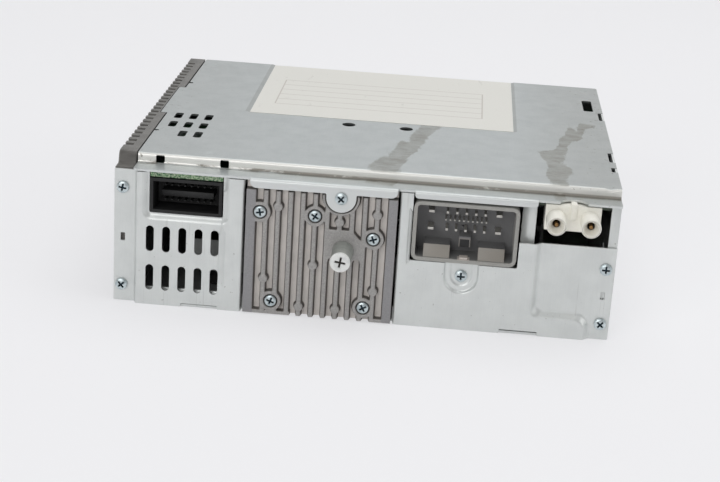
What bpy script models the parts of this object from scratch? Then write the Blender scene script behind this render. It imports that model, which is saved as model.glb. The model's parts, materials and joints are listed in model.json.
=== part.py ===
"""A car CD radio, modelled as the pieces it comes apart into.

A folded steel tray is the floor, the right wall and the front wall. A finned casting is the left
wall, a ribbed casting and two pressed panels close the rear, and a stepped steel cover closes the
top. Inside are the circuit board, which hangs under the cover, and a slot-loading disc mechanism.

Lengths are in metres. X runs along the width, positive to the right for someone who faces the
connectors. Y runs from the connectors to the disc slot, and Z is up. The origin is the centre of
the underside.
"""

import math

import bmesh
import bpy
from mathutils import Matrix, Vector

# The whole case
CASE_WIDTH = 0.180
CASE_DEPTH = 0.1563
CASE_HEIGHT = 0.0548
SHEET = 0.0008
FIT_GAP = 0.0003
RUN_GAP = 0.0004
CUT_OVERRUN = 0.002
WELD_DEPTH = 0.0004
SHEET_BEND = 0.0006
MERGE_REACH = 0.000001
ROUND_SIDES = 20
SMALL_SIDES = 8
BOSS_SIDES = 16
PAD_SIDES = 8
CORNER_STEPS = 3
SMOOTH_ANGLE = math.radians(35)

LEFT = -CASE_WIDTH / 2
RIGHT = CASE_WIDTH / 2
REAR = -CASE_DEPTH / 2
FRONT = CASE_DEPTH / 2
TOP = CASE_HEIGHT

# Pressings that every rear piece follows
PRESS_DEPTH = 0.002
LEDGE_DROP = 0.0035
PANEL_SEAM = 0.0008
PANEL_BOTTOM = 0.0002
RAISED = REAR - PRESS_DEPTH
LEDGE_TOP = TOP - LEDGE_DROP
PANEL_TOP = LEDGE_TOP - SHEET - FIT_GAP
BEHIND_PANEL = REAR + SHEET + FIT_GAP

# Rear heat sink: its two ends are shares of the case's width from the centre
SINK_END_SHARES = (-0.2344, 0.0644)
SINK_BOTTOM = 0.0005
SINK_CREST = 0.0025
SINK_SLAB = 0.0036
SHELF_DROP = 0.0039
SEAT_DEPTH = 0.0016
RIB_COUNT = 10
RIB_MARGIN = 0.0070
RIB_CREST = 0.0018
RIB_ROOT = 0.0024
LEFT_BORDER = 0.0035
RIGHT_BORDER = 0.0033
FOOT_BAND = 0.0012
FOOT_BAND_RIB = 3
BOSS_RADIUS = 0.0039
BOSS_SINK = 0.0001
BOSS_RECESS_RADIUS = 0.00255
BOSS_RECESS_DEPTH = 0.0012
BOSS_SHARES = ((0.093, 0.710), (0.459, 0.710), (0.851, 0.582), (0.186, 0.098), (0.810, 0.101))
PAD_RADIUS = 0.0017
PAD_RISE = 0.0002
PAD_RIBS = (1, 9, 6, 0, 4, 3, 6, 9)
PAD_HEIGHT_SHARES = (0.754, 0.746, 0.679, 0.252, 0.369, 0.072, 0.070, 0.219)
TAB_SHARE = 0.626
TAB_DROP = 0.0010
TAB_CLEARANCE = 0.0005
TAB_RIM = 0.0009
SINK_LEFT = CASE_WIDTH * SINK_END_SHARES[0]
SINK_RIGHT = CASE_WIDTH * SINK_END_SHARES[1]
SINK_WIDTH = SINK_RIGHT - SINK_LEFT
SINK_SHELF = LEDGE_TOP - SHELF_DROP
RIB_PITCH = (SINK_WIDTH - RIB_MARGIN * 2) / (RIB_COUNT - 1)
TAB_X = SINK_LEFT + SINK_WIDTH * TAB_SHARE
TAB_Z = SINK_SHELF - TAB_DROP

# Locating pin, its screw, and the web under it
PIN_SHARES = (0.656, 0.489)
PIN_BASE_RADIUS = 0.0039
PIN_END_RADIUS = 0.0036
PIN_LENGTH = 0.0108
PIN_CHAMFER = 0.0004
PIN_BORE = 0.0019
PIN_SCREW_RADIUS = 0.0015
PIN_SCREW_HEAD_THICKNESS = 0.0009
PIN_SCREW_LENGTH = 0.0140
PIN_SCREW_HOLE_DEPTH = 0.0030
WEB_RISE = 0.0078
WEB_DROP = 0.0045
WEB_SHOULDER_RISE = 0.0019
WEB_FIRST_RIB = 5
WEB_LAST_RIB = 8
PIN_X = SINK_LEFT + SINK_WIDTH * PIN_SHARES[0]
PIN_Z = CASE_HEIGHT * PIN_SHARES[1]

# Side heat sink, the left wall: its grooves start and end at shares of the case's depth
SIDE_SINK_WALL = 0.0064
SIDE_SINK_BOTTOM = 0.0003
SIDE_SINK_STEP = 0.0075
SIDE_SINK_SHOULDER_DROP = 0.0042
SIDE_SINK_ROUND = 0.0025
FIN_GROOVES = 26
FIN_RANGE_SHARES = (0.1056, 0.9373)
FIN_GROOVE_DEPTH = 0.0034
FIN_GROOVE_MOUTH = 0.0030
FIN_GROOVE_ROOT = 0.0022
SIDE_BOSS_RADIUS = 0.0060
SIDE_HOLE_RADIUS = 0.0025
SIDE_HOLE_DEPTH = 0.0050
SIDE_HOLE_HEIGHT_SHARE = 0.365
SIDE_HOLE_DEPTH_SHARES = (0.276, 0.724)
SIDE_SINK_INNER = LEFT + SIDE_SINK_WALL
SIDE_HOLE_Z = CASE_HEIGHT * SIDE_HOLE_HEIGHT_SHARE

# Pan-head screws
SCREW_HEAD_RADIUS = 0.0022
SCREW_HEAD_HEIGHT = 0.0011
SCREW_SHANK_RADIUS = 0.0011
SCREW_LENGTH = 0.0042
SCREW_HOLE_DEPTH = 0.0060
SCREW_HOLE_RADIUS = 0.0014
SCREW_CROWN = 0.0004

# Left rear panel: the strip beside its raised part carries two screws
STRIP_WIDTH = 0.0074
JOGGLE_RUN = 0.0010
PANEL_RETURN = 0.0030
DISPLAY_MARGIN = 0.0044
DISPLAY_WIDTH_SHARE = 0.1478
DISPLAY_BOTTOM_SHARE = 0.6405
DISPLAY_CORNER = 0.0008
DISH_MARGIN = 0.0026
DISH_LIP = 0.0003
DISH_DEPTH = 0.0012
DISH_CORNER = 0.0025
COOLING_SLOTS = 5
COOLING_ROW_SHARES = (0.466, 0.196)
COOLING_FIRST_SHARE = 0.0226
COOLING_PITCH_SHARE = 0.2207
COOLING_WIDTH = 0.0029
COOLING_HEIGHT = 0.0098
FOOT_NOTCH_HEIGHT = 0.0010
LEFT_FOOT_SHARES = (-0.3611, -0.2861)
LANCE_WIDTH = 0.0016
LANCE_HEIGHT = 0.0030
LEFT_LANCE_SHARES = (0.43, 0.453)
LEFT_SCREW_SHARES = ((0.42, 0.796), (0.39, 0.120))
LEFT_PANEL_EDGE = SINK_LEFT - PANEL_SEAM
DISPLAY_LEFT = LEFT + STRIP_WIDTH + JOGGLE_RUN + DISPLAY_MARGIN
DISPLAY_RIGHT = DISPLAY_LEFT + CASE_WIDTH * DISPLAY_WIDTH_SHARE
DISPLAY_BOTTOM = CASE_HEIGHT * DISPLAY_BOTTOM_SHARE

# Right rear panel: the flange of the tray behind its right edge carries two screws
SOCKET_END_SHARES = (0.0944, 0.3072)
SOCKET_BOTTOM_SHARE = 0.4617
ANTENNA_SILL_SHARE = 0.637
JOGGLE_SHARE = 0.3389
JOGGLE_SLOPE = 0.0026
JOGGLE_Z = 0.0071
LOWER_JOGGLE_INSET = 0.0094
JOGGLE_CORNER = 0.0035
POCKET_SHARE = 0.488
POCKET_WIDTH = 0.0128
POCKET_DROP = 0.0113
POCKET_SLOPE = 0.0009
POCKET_DEPTH = 0.0010
POCKET_INNER_WIDTH = 0.0080
POCKET_INNER_DROP = 0.0087
POCKET_INNER_DEPTH = 0.0004
POCKET_SCREW_DROP = 0.0048
REAR_FLANGE_WIDTH = 0.0105
REAR_FLANGE_NARROW = 0.0034
REAR_FLANGE_DROP = 0.0009
RIGHT_FOOT_SHARES = (0.2822, 0.3589)
RIGHT_LANCE_SHARES = (0.676, 0.308)
RIGHT_SCREW_SHARES = ((0.686, 0.493), (0.695, 0.113))
RIGHT_PANEL_EDGE = SINK_RIGHT + PANEL_SEAM
SOCKET_LEFT = CASE_WIDTH * SOCKET_END_SHARES[0]
SOCKET_RIGHT = CASE_WIDTH * SOCKET_END_SHARES[1]
SOCKET_BOTTOM = CASE_HEIGHT * SOCKET_BOTTOM_SHARE
ANTENNA_SILL = CASE_HEIGHT * ANTENNA_SILL_SHARE
JOGGLE_X = CASE_WIDTH * JOGGLE_SHARE
LOWER_JOGGLE_X = RIGHT - LOWER_JOGGLE_INSET
POCKET_X = SOCKET_LEFT + (SOCKET_RIGHT - SOCKET_LEFT) * POCKET_SHARE
POCKET_SCREW = (POCKET_X, SOCKET_BOTTOM - POCKET_SCREW_DROP)

# Tray
TRAY_LEFT = SIDE_SINK_INNER + FIT_GAP
WALL_TOP = TOP - SHEET - FIT_GAP
SILL_HEIGHT = 0.0060
FLOOR_SLOTS = 6
FLOOR_SLOT_WIDTH = 0.0030
FLOOR_SLOT_LENGTH = 0.0140
FLOOR_SLOT_PITCH = 0.0070
FLOOR_SLOT_SHARES = (0.2667, 0.276)

# Cover: its windows, vents, holes and notches lie at shares of the case's sizes
COVER_SEAM = 0.0006
COVER_STEP = 0.0068
COVER_TAB_REACH = 0.0027
COVER_TAB_SHARES = (0.403, 0.665)
FLANGE_PROUD = 0.0007
MIDDLE_FLANGE_LEFT_INSET = 0.0012
MIDDLE_FLANGE_RIGHT_INSET = 0.0003
MIDDLE_FLANGE_DROP = 0.0034
CONNECTOR_FLANGE_INSET = 0.0004
CONNECTOR_FLANGE_DROP = 0.0026
FLANGE_CORNER = 0.0022
TAB_RADIUS = 0.0053
WINDOW_WIDTH = 0.0031
WINDOW_HEIGHT = 0.0027
WINDOW_SHARES = (-0.4161, -0.2872)
VENT_ROWS = 3
VENT_COLUMNS = 3
VENT_WIDTH = 0.0030
VENT_LENGTH = 0.0078
VENT_PITCH_X = 0.00588
VENT_PITCH_Y = 0.0125
VENT_SHARES = (-0.4331, 0.384)
COVER_HOLE_RADIUS = 0.0026
COVER_HOLE_DEPTH_SHARE = 0.4197
COVER_HOLE_SHARES = (-0.0656, 0.0589)
LATCH_SLOT_INSET = 0.0058
LATCH_SLOT_WIDTH = 0.0040
LATCH_SLOT_START_SHARE = 0.736
LATCH_SLOT_LENGTH = 0.0175
EDGE_NOTCH_DEPTH = 0.0022
EDGE_NOTCH_SHARES = ((0.180, 0.034), (0.262, 0.077), (0.646, 0.077))
LEFT_NOTCH_SHARES = (0.235, 0.715)
LEFT_NOTCH_SIZE = 0.0016
ANTENNA_NOTCH_RADIUS = 0.0050
LABEL_RECESS = 0.0003
COVER_LEFT = SIDE_SINK_INNER + COVER_SEAM
FLANGE_FACE = RAISED - FLANGE_PROUD
MIDDLE_FLANGE_LEFT = SINK_LEFT + MIDDLE_FLANGE_LEFT_INSET
MIDDLE_FLANGE_RIGHT = SINK_RIGHT - MIDDLE_FLANGE_RIGHT_INSET
CONNECTOR_FLANGE_LEFT = SOCKET_LEFT + CONNECTOR_FLANGE_INSET
CONNECTOR_FLANGE_RIGHT = JOGGLE_X - CONNECTOR_FLANGE_INSET

# Label on the cover
LABEL_ACROSS_SHARES = (-0.2889, 0.2917)
LABEL_DEPTH_SHARES = (0.4715, 0.9936)
LABEL_THICKNESS = 0.00015
LABEL_MARGIN = 0.0014
LABEL_GLUE = 0.0001
LABEL_LEFT = CASE_WIDTH * LABEL_ACROSS_SHARES[0]
LABEL_RIGHT = CASE_WIDTH * LABEL_ACROSS_SHARES[1]
LABEL_NEAR = REAR + CASE_DEPTH * LABEL_DEPTH_SHARES[0]
LABEL_FAR = REAR + CASE_DEPTH * LABEL_DEPTH_SHARES[1]

# Circuit board, which rests on tabs bent in from the tray's walls
BOARD_THICKNESS = 0.0016
BOARD_FRONT_GAP = 0.0015
BOARD_TONGUE = 0.0009
BOARD_TAB_REACH = 0.0040
BOARD_TAB_LENGTH = 0.0090
BOARD_TAB_SHARES = (0.16, 0.92)
BOARD_UNDERSIDE = PANEL_TOP - BOARD_THICKNESS

# Main connector: its contacts and guides lie at shares of the shell's width and height
SOCKET_TOP_DROP = 0.0071
SOCKET_PROUD = 0.0003
SOCKET_DEPTH = 0.0110
SOCKET_CORNER = 0.0025
SOCKET_WALL = 0.00135
SOCKET_FLOOR = 0.0082
SOCKET_BODY_DEPTH = 0.0165
SOCKET_BODY_INSET = 0.0010
GUIDE_SHARES = (0.113, 0.365)
GUIDE_HEIGHT_SHARE = 0.19
GUIDE_START = 0.0006
GUIDE_SLOPE = 0.0022
KEY_WIDTH = 0.0042
KEY_HEIGHT_SHARES = (0.226, 0.403)
KEY_START = 0.0015
KEY_FOOT_WIDTH = 0.0030
KEY_FOOT_HEIGHT = 0.0006
BLADE_WIDTH = 0.0021
BLADE_THICKNESS = 0.0009
BLADE_SHARES = (0.168, 0.810)
PIN_ROW_SHARES = (0.783, 0.493)
PIN_WIDTH = 0.0009
PIN_COUNT = 5
PIN_PITCH_SHARE = 0.0896
PIN_TIP = 0.0020
FINE_PIN_COUNT = 10
FINE_PIN_WIDTH = 0.0006
FINE_PIN_PITCH_SHARE = 0.0428
FINE_PIN_ROW_SHARE = 0.638
FINE_PIN_TIP = 0.0032
SOCKET_TOP = TOP - SOCKET_TOP_DROP

# Bracket beside the main connector
BRACKET_REACH = 0.0067
BRACKET_DROP = 0.0123
BRACKET_SHOULDER_DROP = 0.0018

# Display connector
DISPLAY_WALL = 0.0012
DISPLAY_PROUD = 0.0004
DISPLAY_DEPTH = 0.0120
DISPLAY_FLOOR = 0.0082
TONGUE_INSET = 0.0036
TONGUE_THICKNESS = 0.0022
TONGUE_START = 0.0022
CONTACT_COUNT = 8
CONTACT_WIDTH = 0.0007
CONTACT_DROP = 0.0028
CONTACT_TIP = 0.0030

# Antenna connector
ANTENNA_SHARE = 0.4064
ANTENNA_WIDTH = 0.0196
ANTENNA_HEIGHT = 0.0094
ANTENNA_PROUD = 0.0010
ANTENNA_BACK = 0.0120
BARREL_SPACING = 0.0120
BARREL_DROP = 0.0051
BARREL_RADIUS = 0.0035
BARREL_BORE = 0.0026
BARREL_END = 0.0100
BARREL_LIP = 0.0004
ANTENNA_KEY_WIDTH = 0.0021
ANTENNA_KEY_DROP = 0.0048
ANTENNA_KEY_RISE = 0.0008
ANTENNA_KEY_BACK = 0.0020
CONTACT_RADIUS = 0.0007
CONTACT_LENGTH = 0.0080
ANTENNA_X = CASE_WIDTH * ANTENNA_SHARE
ANTENNA_LEFT = ANTENNA_X - ANTENNA_WIDTH / 2
ANTENNA_RIGHT = ANTENNA_X + ANTENNA_WIDTH / 2
ANTENNA_TOP = PANEL_TOP - FIT_GAP
BARREL_Z = ANTENNA_TOP - BARREL_DROP
BARREL_CENTRES = (ANTENNA_X - BARREL_SPACING / 2, ANTENNA_X + BARREL_SPACING / 2)

# Front bezel and slot flap
DISC_PATH_SHARE = 0.5018
BEZEL_THICKNESS = 0.0028
BEZEL_INSET = 0.0020
BEZEL_BOTTOM = 0.0040
BEZEL_TOP_DROP = 0.0048
BEZEL_CORNER = 0.0030
SLOT_HALF_WIDTH = 0.0615
SLOT_HEIGHT = 0.0052
SLOT_FLARE = 0.0010
WALL_WINDOW_EXTRA = 0.0009
FLAP_INSET = 0.0028
FLAP_RISE = 0.0041
FLAP_DROP = 0.0069
FLAP_THICKNESS = 0.0010
FLAP_PIN_RADIUS = 0.0008
FLAP_EAR_THICKNESS = 0.0010
FLAP_EAR_REACH = 0.0025
DISC_PATH_Z = CASE_HEIGHT * DISC_PATH_SHARE
FLAP_PIVOT_Y = FRONT - FLAP_INSET
FLAP_PIVOT_Z = DISC_PATH_Z + FLAP_RISE

# Disc deck: its width and the disc's place follow the case, its heights the disc's path
DECK_WIDTH_SHARE = 0.3611
DISC_SHARE = 0.563
DECK_FLOOR_SHARE = 0.146
DECK_SHEET = 0.0010
DECK_REAR_GAP = 0.0005
DECK_FRONT_REACH = 0.0080
DECK_WALL_DROP = 0.0030
DECK_REAR_WALL = 0.0120
DECK_WINDOW_HALF = 0.0270
DECK_WINDOW_REAR = 0.0130
DECK_WINDOW_FRONT = 0.0140
EAR_HALF_LENGTH = 0.0040
EAR_RISE = 0.0028
DAMPER_RADIUS = 0.0055
DAMPER_WAIST = 0.0042
DAMPER_SIDE_INSET = 0.0110
DAMPER_END_INSET = 0.0085
SPINDLE_MOTOR_RADIUS = 0.0120
SPINDLE_MOTOR_DROP = 0.0085
SPINDLE_MOTOR_BEVEL = 0.0010
TURNTABLE_RADIUS = 0.0150
TURNTABLE_DROP = 0.0035
TURNTABLE_THICKNESS = 0.0022
HUB_RADIUS = 0.0073
HUB_HEIGHT = 0.0013
HUB_CHAMFER = 0.0010
SPINDLE_RADIUS = 0.0030
DECK_HALF_WIDTH = CASE_WIDTH * DECK_WIDTH_SHARE
DISC_Y = REAR + CASE_DEPTH * DISC_SHARE
DECK_FLOOR = CASE_HEIGHT * DECK_FLOOR_SHARE
DECK_TOP = DECK_FLOOR + DECK_SHEET
DECK_REAR = REAR + SOCKET_BODY_DEPTH + DECK_REAR_GAP
TURNTABLE_TOP = DISC_PATH_Z - TURNTABLE_DROP

# Clamp arm, described in its lowered position
CLAMP_PIVOT_SHARE = 0.192
CLAMP_LIFT = math.radians(7)
ARM_RISE = 0.0025
ARM_THICKNESS = 0.0010
ARM_SIDE_INSET = 0.0090
ARM_FRONT_HALF_WIDTH = 0.0130
ARM_REAR_REACH = 0.0030
ARM_WAIST_REACH = 0.0120
ARM_FRONT_REACH = 0.0120
ARM_CORNER = 0.0032
ARM_HOLE_RADIUS = 0.0047
ARM_PIN_RADIUS = 0.0012
CLAMP_DISC_RADIUS = 0.0140
CLAMP_DISC_LIFT = 0.0015
CLAMP_DISC_NECK = 0.0040
CLAMP_DISC_CAP = 0.0065
CLAMP_DISC_CAP_THICKNESS = 0.0010
CLAMP_DISC_HOLLOW = 0.0080
CLAMP_DISC_HOLLOW_DEPTH = 0.0014
CLAMP_PIVOT_Y = REAR + CASE_DEPTH * CLAMP_PIVOT_SHARE
ARM_UNDERSIDE = DISC_PATH_Z + ARM_RISE
CLAMP_PIVOT_Z = ARM_UNDERSIDE + ARM_THICKNESS / 2

# Pickup drive
ROD_X = 0.0200
ROD_RISE = 0.0050
ROD_RADIUS = 0.0015
ROD_FRONT_GAP = 0.0090
HOLDER_WIDTH = 0.0050
HOLDER_RISE = 0.0030
SLED_CLEARANCE = 0.0040
SLED_HALF_WIDTH = 0.0240
SLED_HALF_LENGTH = 0.0085
SLED_BELOW_ROD = 0.0035
SLED_ABOVE_ROD = 0.0045
SLED_CORNER = 0.0030
LENS_RADIUS = 0.0035
LENS_TIP_RADIUS = 0.0028
LENS_RING_RADIUS = 0.0060
LENS_RING_HEIGHT = 0.0021
LENS_HEIGHT = 0.0037
SCREW_X = 0.0290
LEAD_SCREW_RADIUS = 0.0015
LEAD_SCREW_GAP = 0.0135
NUT_HALF_WIDTH = 0.0035
NUT_HALF_LENGTH = 0.0040
SLED_MOTOR_RADIUS = 0.0048
SLED_MOTOR_LENGTH = 0.0200
SLED_MOTOR_FLAT = 0.0040
ROD_Z = DECK_TOP + ROD_RISE
SLED_Y = DISC_Y - TURNTABLE_RADIUS - LENS_RING_RADIUS - SLED_CLEARANCE
SLED_TOP = ROD_Z + SLED_ABOVE_ROD

# Loading roller and its gear train
ROLLER_INSET = 0.0143
ROLLER_DROP = 0.0051
ROLLER_SHAFT_RADIUS = 0.0015
ROLLER_END_RADIUS = 0.0032
ROLLER_MIDDLE_RADIUS = 0.0026
ROLLER_SIDE_INSET = 0.0060
GEAR_MODULE = 0.0008
GEAR_WIDTH = 0.0030
GEAR_FLANK_GAP = 0.00015
TOOTH_TIP_SHARE = 0.9
TOOTH_ROOT_SHARE = 1.15
TOOTH_OUTLINE_SHARES = (-1.55, -0.5, 0.5, 1.55)
ROLLER_TEETH = 12
IDLER_TEETH = 18
WHEEL_TEETH = 24
WHEEL_MODULE = 0.0005
WHEEL_WIDTH = 0.0040
WHEEL_HUB_RADIUS = 0.0045
GEAR_LINE_ANGLE = math.radians(220)
GEAR_WALL_GAP = 0.0008
WHEEL_OFFSET = 0.0017
STUD_RADIUS = 0.0012
WORM_ROOT_RADIUS = 0.0019
WORM_PITCH_RADIUS = 0.0025
WORM_TIP_RADIUS = 0.0030
WORM_LENGTH = 0.0110
WORM_TURN_STEPS = 8
WORM_THREAD_ROOT = 0.0008
WORM_THREAD_TIP = 0.0004
WORM_SHAFT_RADIUS = 0.0010
LOADING_MOTOR_RADIUS = 0.0065
LOADING_MOTOR_LENGTH = 0.0220
MOTOR_SHELF_THICKNESS = 0.0010
MOTOR_GAP = 0.0032
ROLLER_Y = FRONT - ROLLER_INSET
ROLLER_Z = DISC_PATH_Z - ROLLER_DROP

# Disc guide over the roller
GUIDE_PIVOT_REACH = 0.0240
GUIDE_FRONT_REACH = 0.0040
GUIDE_REAR_REACH = 0.0060
GUIDE_RISE = 0.0029
GUIDE_PIVOT_RISE = 0.0031
GUIDE_THICKNESS = 0.0015
GUIDE_SIDE_INSET = 0.0100
GUIDE_ARM_WIDTH = 0.0040
GUIDE_ARM_HALF_LENGTH = 0.0040
GUIDE_PIN_RADIUS = 0.0010
GUIDE_RIB_HEIGHT = 0.0012
GUIDE_RIB_WIDTH = 0.0015
GUIDE_RIB_COUNT = 5
GUIDE_PIVOT_Y = ROLLER_Y - GUIDE_PIVOT_REACH
GUIDE_UNDERSIDE = DISC_PATH_Z + GUIDE_RISE
GUIDE_PIVOT_Z = GUIDE_UNDERSIDE + GUIDE_PIVOT_RISE

# Electronics: the amplifier lies at shares of the rear heat sink's width and the case's height
CHIP_ACROSS_SHARES = (0.134, 0.729)
CHIP_HEIGHT_SHARES = (0.401, 0.803)
CHIP_THICKNESS = 0.0040
CLAMP_BAR_HEIGHT = 0.0070
CLAMP_BAR_THICKNESS = 0.0010
CLAMP_BAR_FOOT = 0.0020
CAPACITOR_COUNT = 3
CAPACITOR_RADIUS = 0.0055
CAPACITOR_HEIGHT = 0.0220
CAPACITOR_PITCH = 0.0140
CAPACITOR_START = 0.0150
CAPACITOR_GAP = 0.0010
CAPACITOR_BEVEL = 0.0006
CHOKE_SHARES = (0.4278, 0.397)
CHOKE_RADIUS = 0.0080
CHOKE_HOLE = 0.0035
CHOKE_WIDTH = 0.0070
CHOKE_BEVEL = 0.0012
TUNER_GAP = 0.0015
TUNER_WIDTH = 0.0150
TUNER_LENGTH = 0.0320
TUNER_HEIGHT = 0.0120
TUNER_BEVEL = 0.0010
PROCESSOR_SIZE = 0.0160
PROCESSOR_THICKNESS = 0.0016
PROCESSOR_SHARES = (-0.111, 0.70)
TUNER_LEFT = DECK_HALF_WIDTH + TUNER_GAP
TUNER_REAR = REAR + ANTENNA_BACK + TUNER_GAP


def clear_scene():
    for thing in list(bpy.data.objects):
        bpy.data.objects.remove(thing, do_unlink=True)


def linear(share):
    """Turns a display colour value between 0 and 1 into a linear one."""
    knee, slope, offset, power = 0.04045, 12.92, 0.055, 2.4
    if share <= knee:
        return share / slope
    return ((share + offset) / (1 + offset)) ** power


def finish(name, colour, roughness, metallic):
    material = bpy.data.materials.get(name)
    if material is None:
        material = bpy.data.materials.new(name)
        material.use_nodes = True
        shader = material.node_tree.nodes["Principled BSDF"]
        shader.inputs["Base Color"].default_value = (*[linear(share) for share in colour], 1)
        shader.inputs["Roughness"].default_value = roughness
        shader.inputs["Metallic"].default_value = metallic
    return material


def zinc_steel():
    return finish("zinc_steel", (0.72, 0.74, 0.74), 0.38, 0.85)


def cover_steel():
    return finish("cover_steel", (0.66, 0.69, 0.69), 0.42, 0.80)


def warm_casting():
    return finish("rear_casting", (0.62, 0.60, 0.58), 0.50, 0.60)


def dark_casting():
    return finish("side_casting", (0.44, 0.43, 0.42), 0.55, 0.60)


def bright_steel():
    return finish("bright_steel", (0.78, 0.82, 0.84), 0.22, 1.0)


def grey_plastic():
    return finish("grey_plastic", (0.55, 0.55, 0.53), 0.45, 0.0)


def black_plastic():
    return finish("black_plastic", (0.06, 0.06, 0.07), 0.40, 0.0)


def white_plastic():
    return finish("white_plastic", (0.88, 0.87, 0.82), 0.45, 0.0)


def board_green():
    return finish("board_green", (0.16, 0.36, 0.20), 0.50, 0.0)


def tin():
    return finish("tin", (0.80, 0.79, 0.76), 0.30, 1.0)


def brass():
    return finish("brass", (0.62, 0.48, 0.28), 0.35, 1.0)


def black_rubber():
    return finish("black_rubber", (0.09, 0.09, 0.09), 0.80, 0.0)


def label_paper():
    return finish("label_paper", (0.92, 0.91, 0.87), 0.60, 0.0)


def place(axis, across, up, along):
    """Gives the x, y, z of a point of a flat outline that stands square to an axis."""
    if axis == "X":
        return Vector((along, across, up))
    if axis == "Y":
        return Vector((across, along, up))
    return Vector((across, up, along))


def prism(form, outline, axis, start, end):
    """Extrudes a flat outline along an axis."""
    ring = [form.verts.new(place(axis, across, up, start)) for across, up in outline]
    grown = bmesh.ops.extrude_face_region(form, geom=[form.faces.new(ring)])
    moved = [item for item in grown["geom"] if isinstance(item, bmesh.types.BMVert)]
    bmesh.ops.translate(form, vec=place(axis, 0, 0, end - start), verts=moved)


def loft(form, first, last, axis, start, end):
    """Joins two outlines of as many points each, at two places along an axis."""
    near = [form.verts.new(place(axis, across, up, start)) for across, up in first]
    far = [form.verts.new(place(axis, across, up, end)) for across, up in last]
    form.faces.new(near)
    form.faces.new(far)
    for index, vertex in enumerate(near):
        form.faces.new((near[index - 1], vertex, far[index], far[index - 1]))


def turned(form, profile, axis, centre, sides=ROUND_SIDES, closed=False):
    """Spins a profile of (radius, place along the axis) points round the axis."""
    across, up = centre
    line = [form.verts.new(place(axis, across + radius, up, along)) for radius, along in profile]
    edges = [form.edges.new(pair) for pair in zip(line, line[1:])]
    if closed:
        edges.append(form.edges.new((line[-1], line[0])))
    bmesh.ops.spin(form, geom=line + edges, cent=place(axis, across, up, 0),
                   axis=place(axis, 0, 0, 1), angle=math.tau, steps=sides, use_merge=True)
    bmesh.ops.remove_doubles(form, verts=form.verts, dist=MERGE_REACH)


def rectangle(left, right, bottom, top):
    return [(left, bottom), (right, bottom), (right, top), (left, top)]


def circle(centre, radius, sides=ROUND_SIDES):
    angles = [math.tau * (step + 0.5) / sides for step in range(sides)]
    return [(centre[0] + radius * math.cos(angle), centre[1] + radius * math.sin(angle))
            for angle in angles]


def round_corners(points, radii, steps=CORNER_STEPS, closed=True):
    """Replaces each corner of an outline by an arc of its own radius, and keeps it where that is 0."""
    if not isinstance(radii, (list, tuple)):
        radii = [radii] * len(points)
    outline = []
    for index, (point, radius) in enumerate(zip(points, radii)):
        corner = Vector(point)
        is_end = not closed and index in (0, len(points) - 1)
        if radius == 0 or is_end:
            outline.append(tuple(corner))
            continue
        back = (Vector(points[index - 1]) - corner).normalized()
        ahead = (Vector(points[(index + 1) % len(points)]) - corner).normalized()
        half = back.angle(ahead) / 2
        centre = corner + (back + ahead).normalized() * (radius / math.sin(half))
        start = corner + back * (radius / math.tan(half)) - centre
        turn = math.copysign(math.pi - 2 * half, back.x * ahead.y - back.y * ahead.x)
        for step in range(steps + 1):
            angle = -turn * step / steps
            across = start.x * math.cos(angle) - start.y * math.sin(angle)
            up = start.x * math.sin(angle) + start.y * math.cos(angle)
            outline.append((centre.x + across, centre.y + up))
    return outline


def sheet_outline(path, thickness, bend=SHEET_BEND):
    """Gives the section of a bent sheet: path is one face, and the sheet lies to its left."""
    points = [Vector(point) for point in path]
    far_face = []
    inner_radii, outer_radii = [], []
    for index, point in enumerate(points):
        ahead = (points[min(index + 1, len(points) - 1)] - points[min(index, len(points) - 2)])
        back = (points[max(index, 1)] - points[max(index - 1, 0)])
        ahead.normalize()
        back.normalize()
        normal = Vector((-back.y - ahead.y, back.x + ahead.x)).normalized()
        reach = thickness / normal.dot(Vector((-ahead.y, ahead.x)))
        far_face.append(point + normal * reach)
        turns_left = back.x * ahead.y - back.y * ahead.x > 0
        inner_radii.append(bend + thickness if turns_left else bend)
        outer_radii.append(bend if turns_left else bend + thickness)
    near = round_corners(path, inner_radii, closed=False)
    far = round_corners([tuple(point) for point in far_face], outer_radii, closed=False)
    return near + far[::-1]


def turned_over(outline):
    return [(-side, up) for side, up in outline]


def block(form, x_span, y_span, z_span):
    prism(form, rectangle(*x_span, *y_span), "Z", *z_span)


def arc(centre, radius, start, end, steps=CORNER_STEPS):
    """Gives the points of an arc, both ends included."""
    angles = [start + (end - start) * step / steps for step in range(steps + 1)]
    return [(centre[0] + radius * math.cos(angle), centre[1] + radius * math.sin(angle)) for angle in angles]


def slot_outline(x, z, width, height):
    """An upright slot with fully round ends."""
    radius = width / 2
    reach = height / 2 - radius
    return arc((x, z + reach), radius, 0, math.pi) + arc((x, z - reach), radius, math.pi, math.tau)


def segment_outline(centre, radius, level):
    """The part of a circle that lies below a level line."""
    tilt = math.asin((level - centre[1]) / radius)
    return arc(centre, radius, math.pi - tilt, math.tau + tilt, ROUND_SIDES)


def add_mesh(name, form, pivot):
    bmesh.ops.recalc_face_normals(form, faces=form.faces)
    mesh = bpy.data.meshes.new(name)
    form.to_mesh(mesh)
    form.free()
    mesh.transform(Matrix.Translation(-pivot))
    mesh.shade_smooth()
    mesh.set_sharp_from_angle(angle=SMOOTH_ANGLE)
    thing = bpy.data.objects.new(name, mesh)
    bpy.context.scene.collection.objects.link(thing)
    return thing


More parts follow.
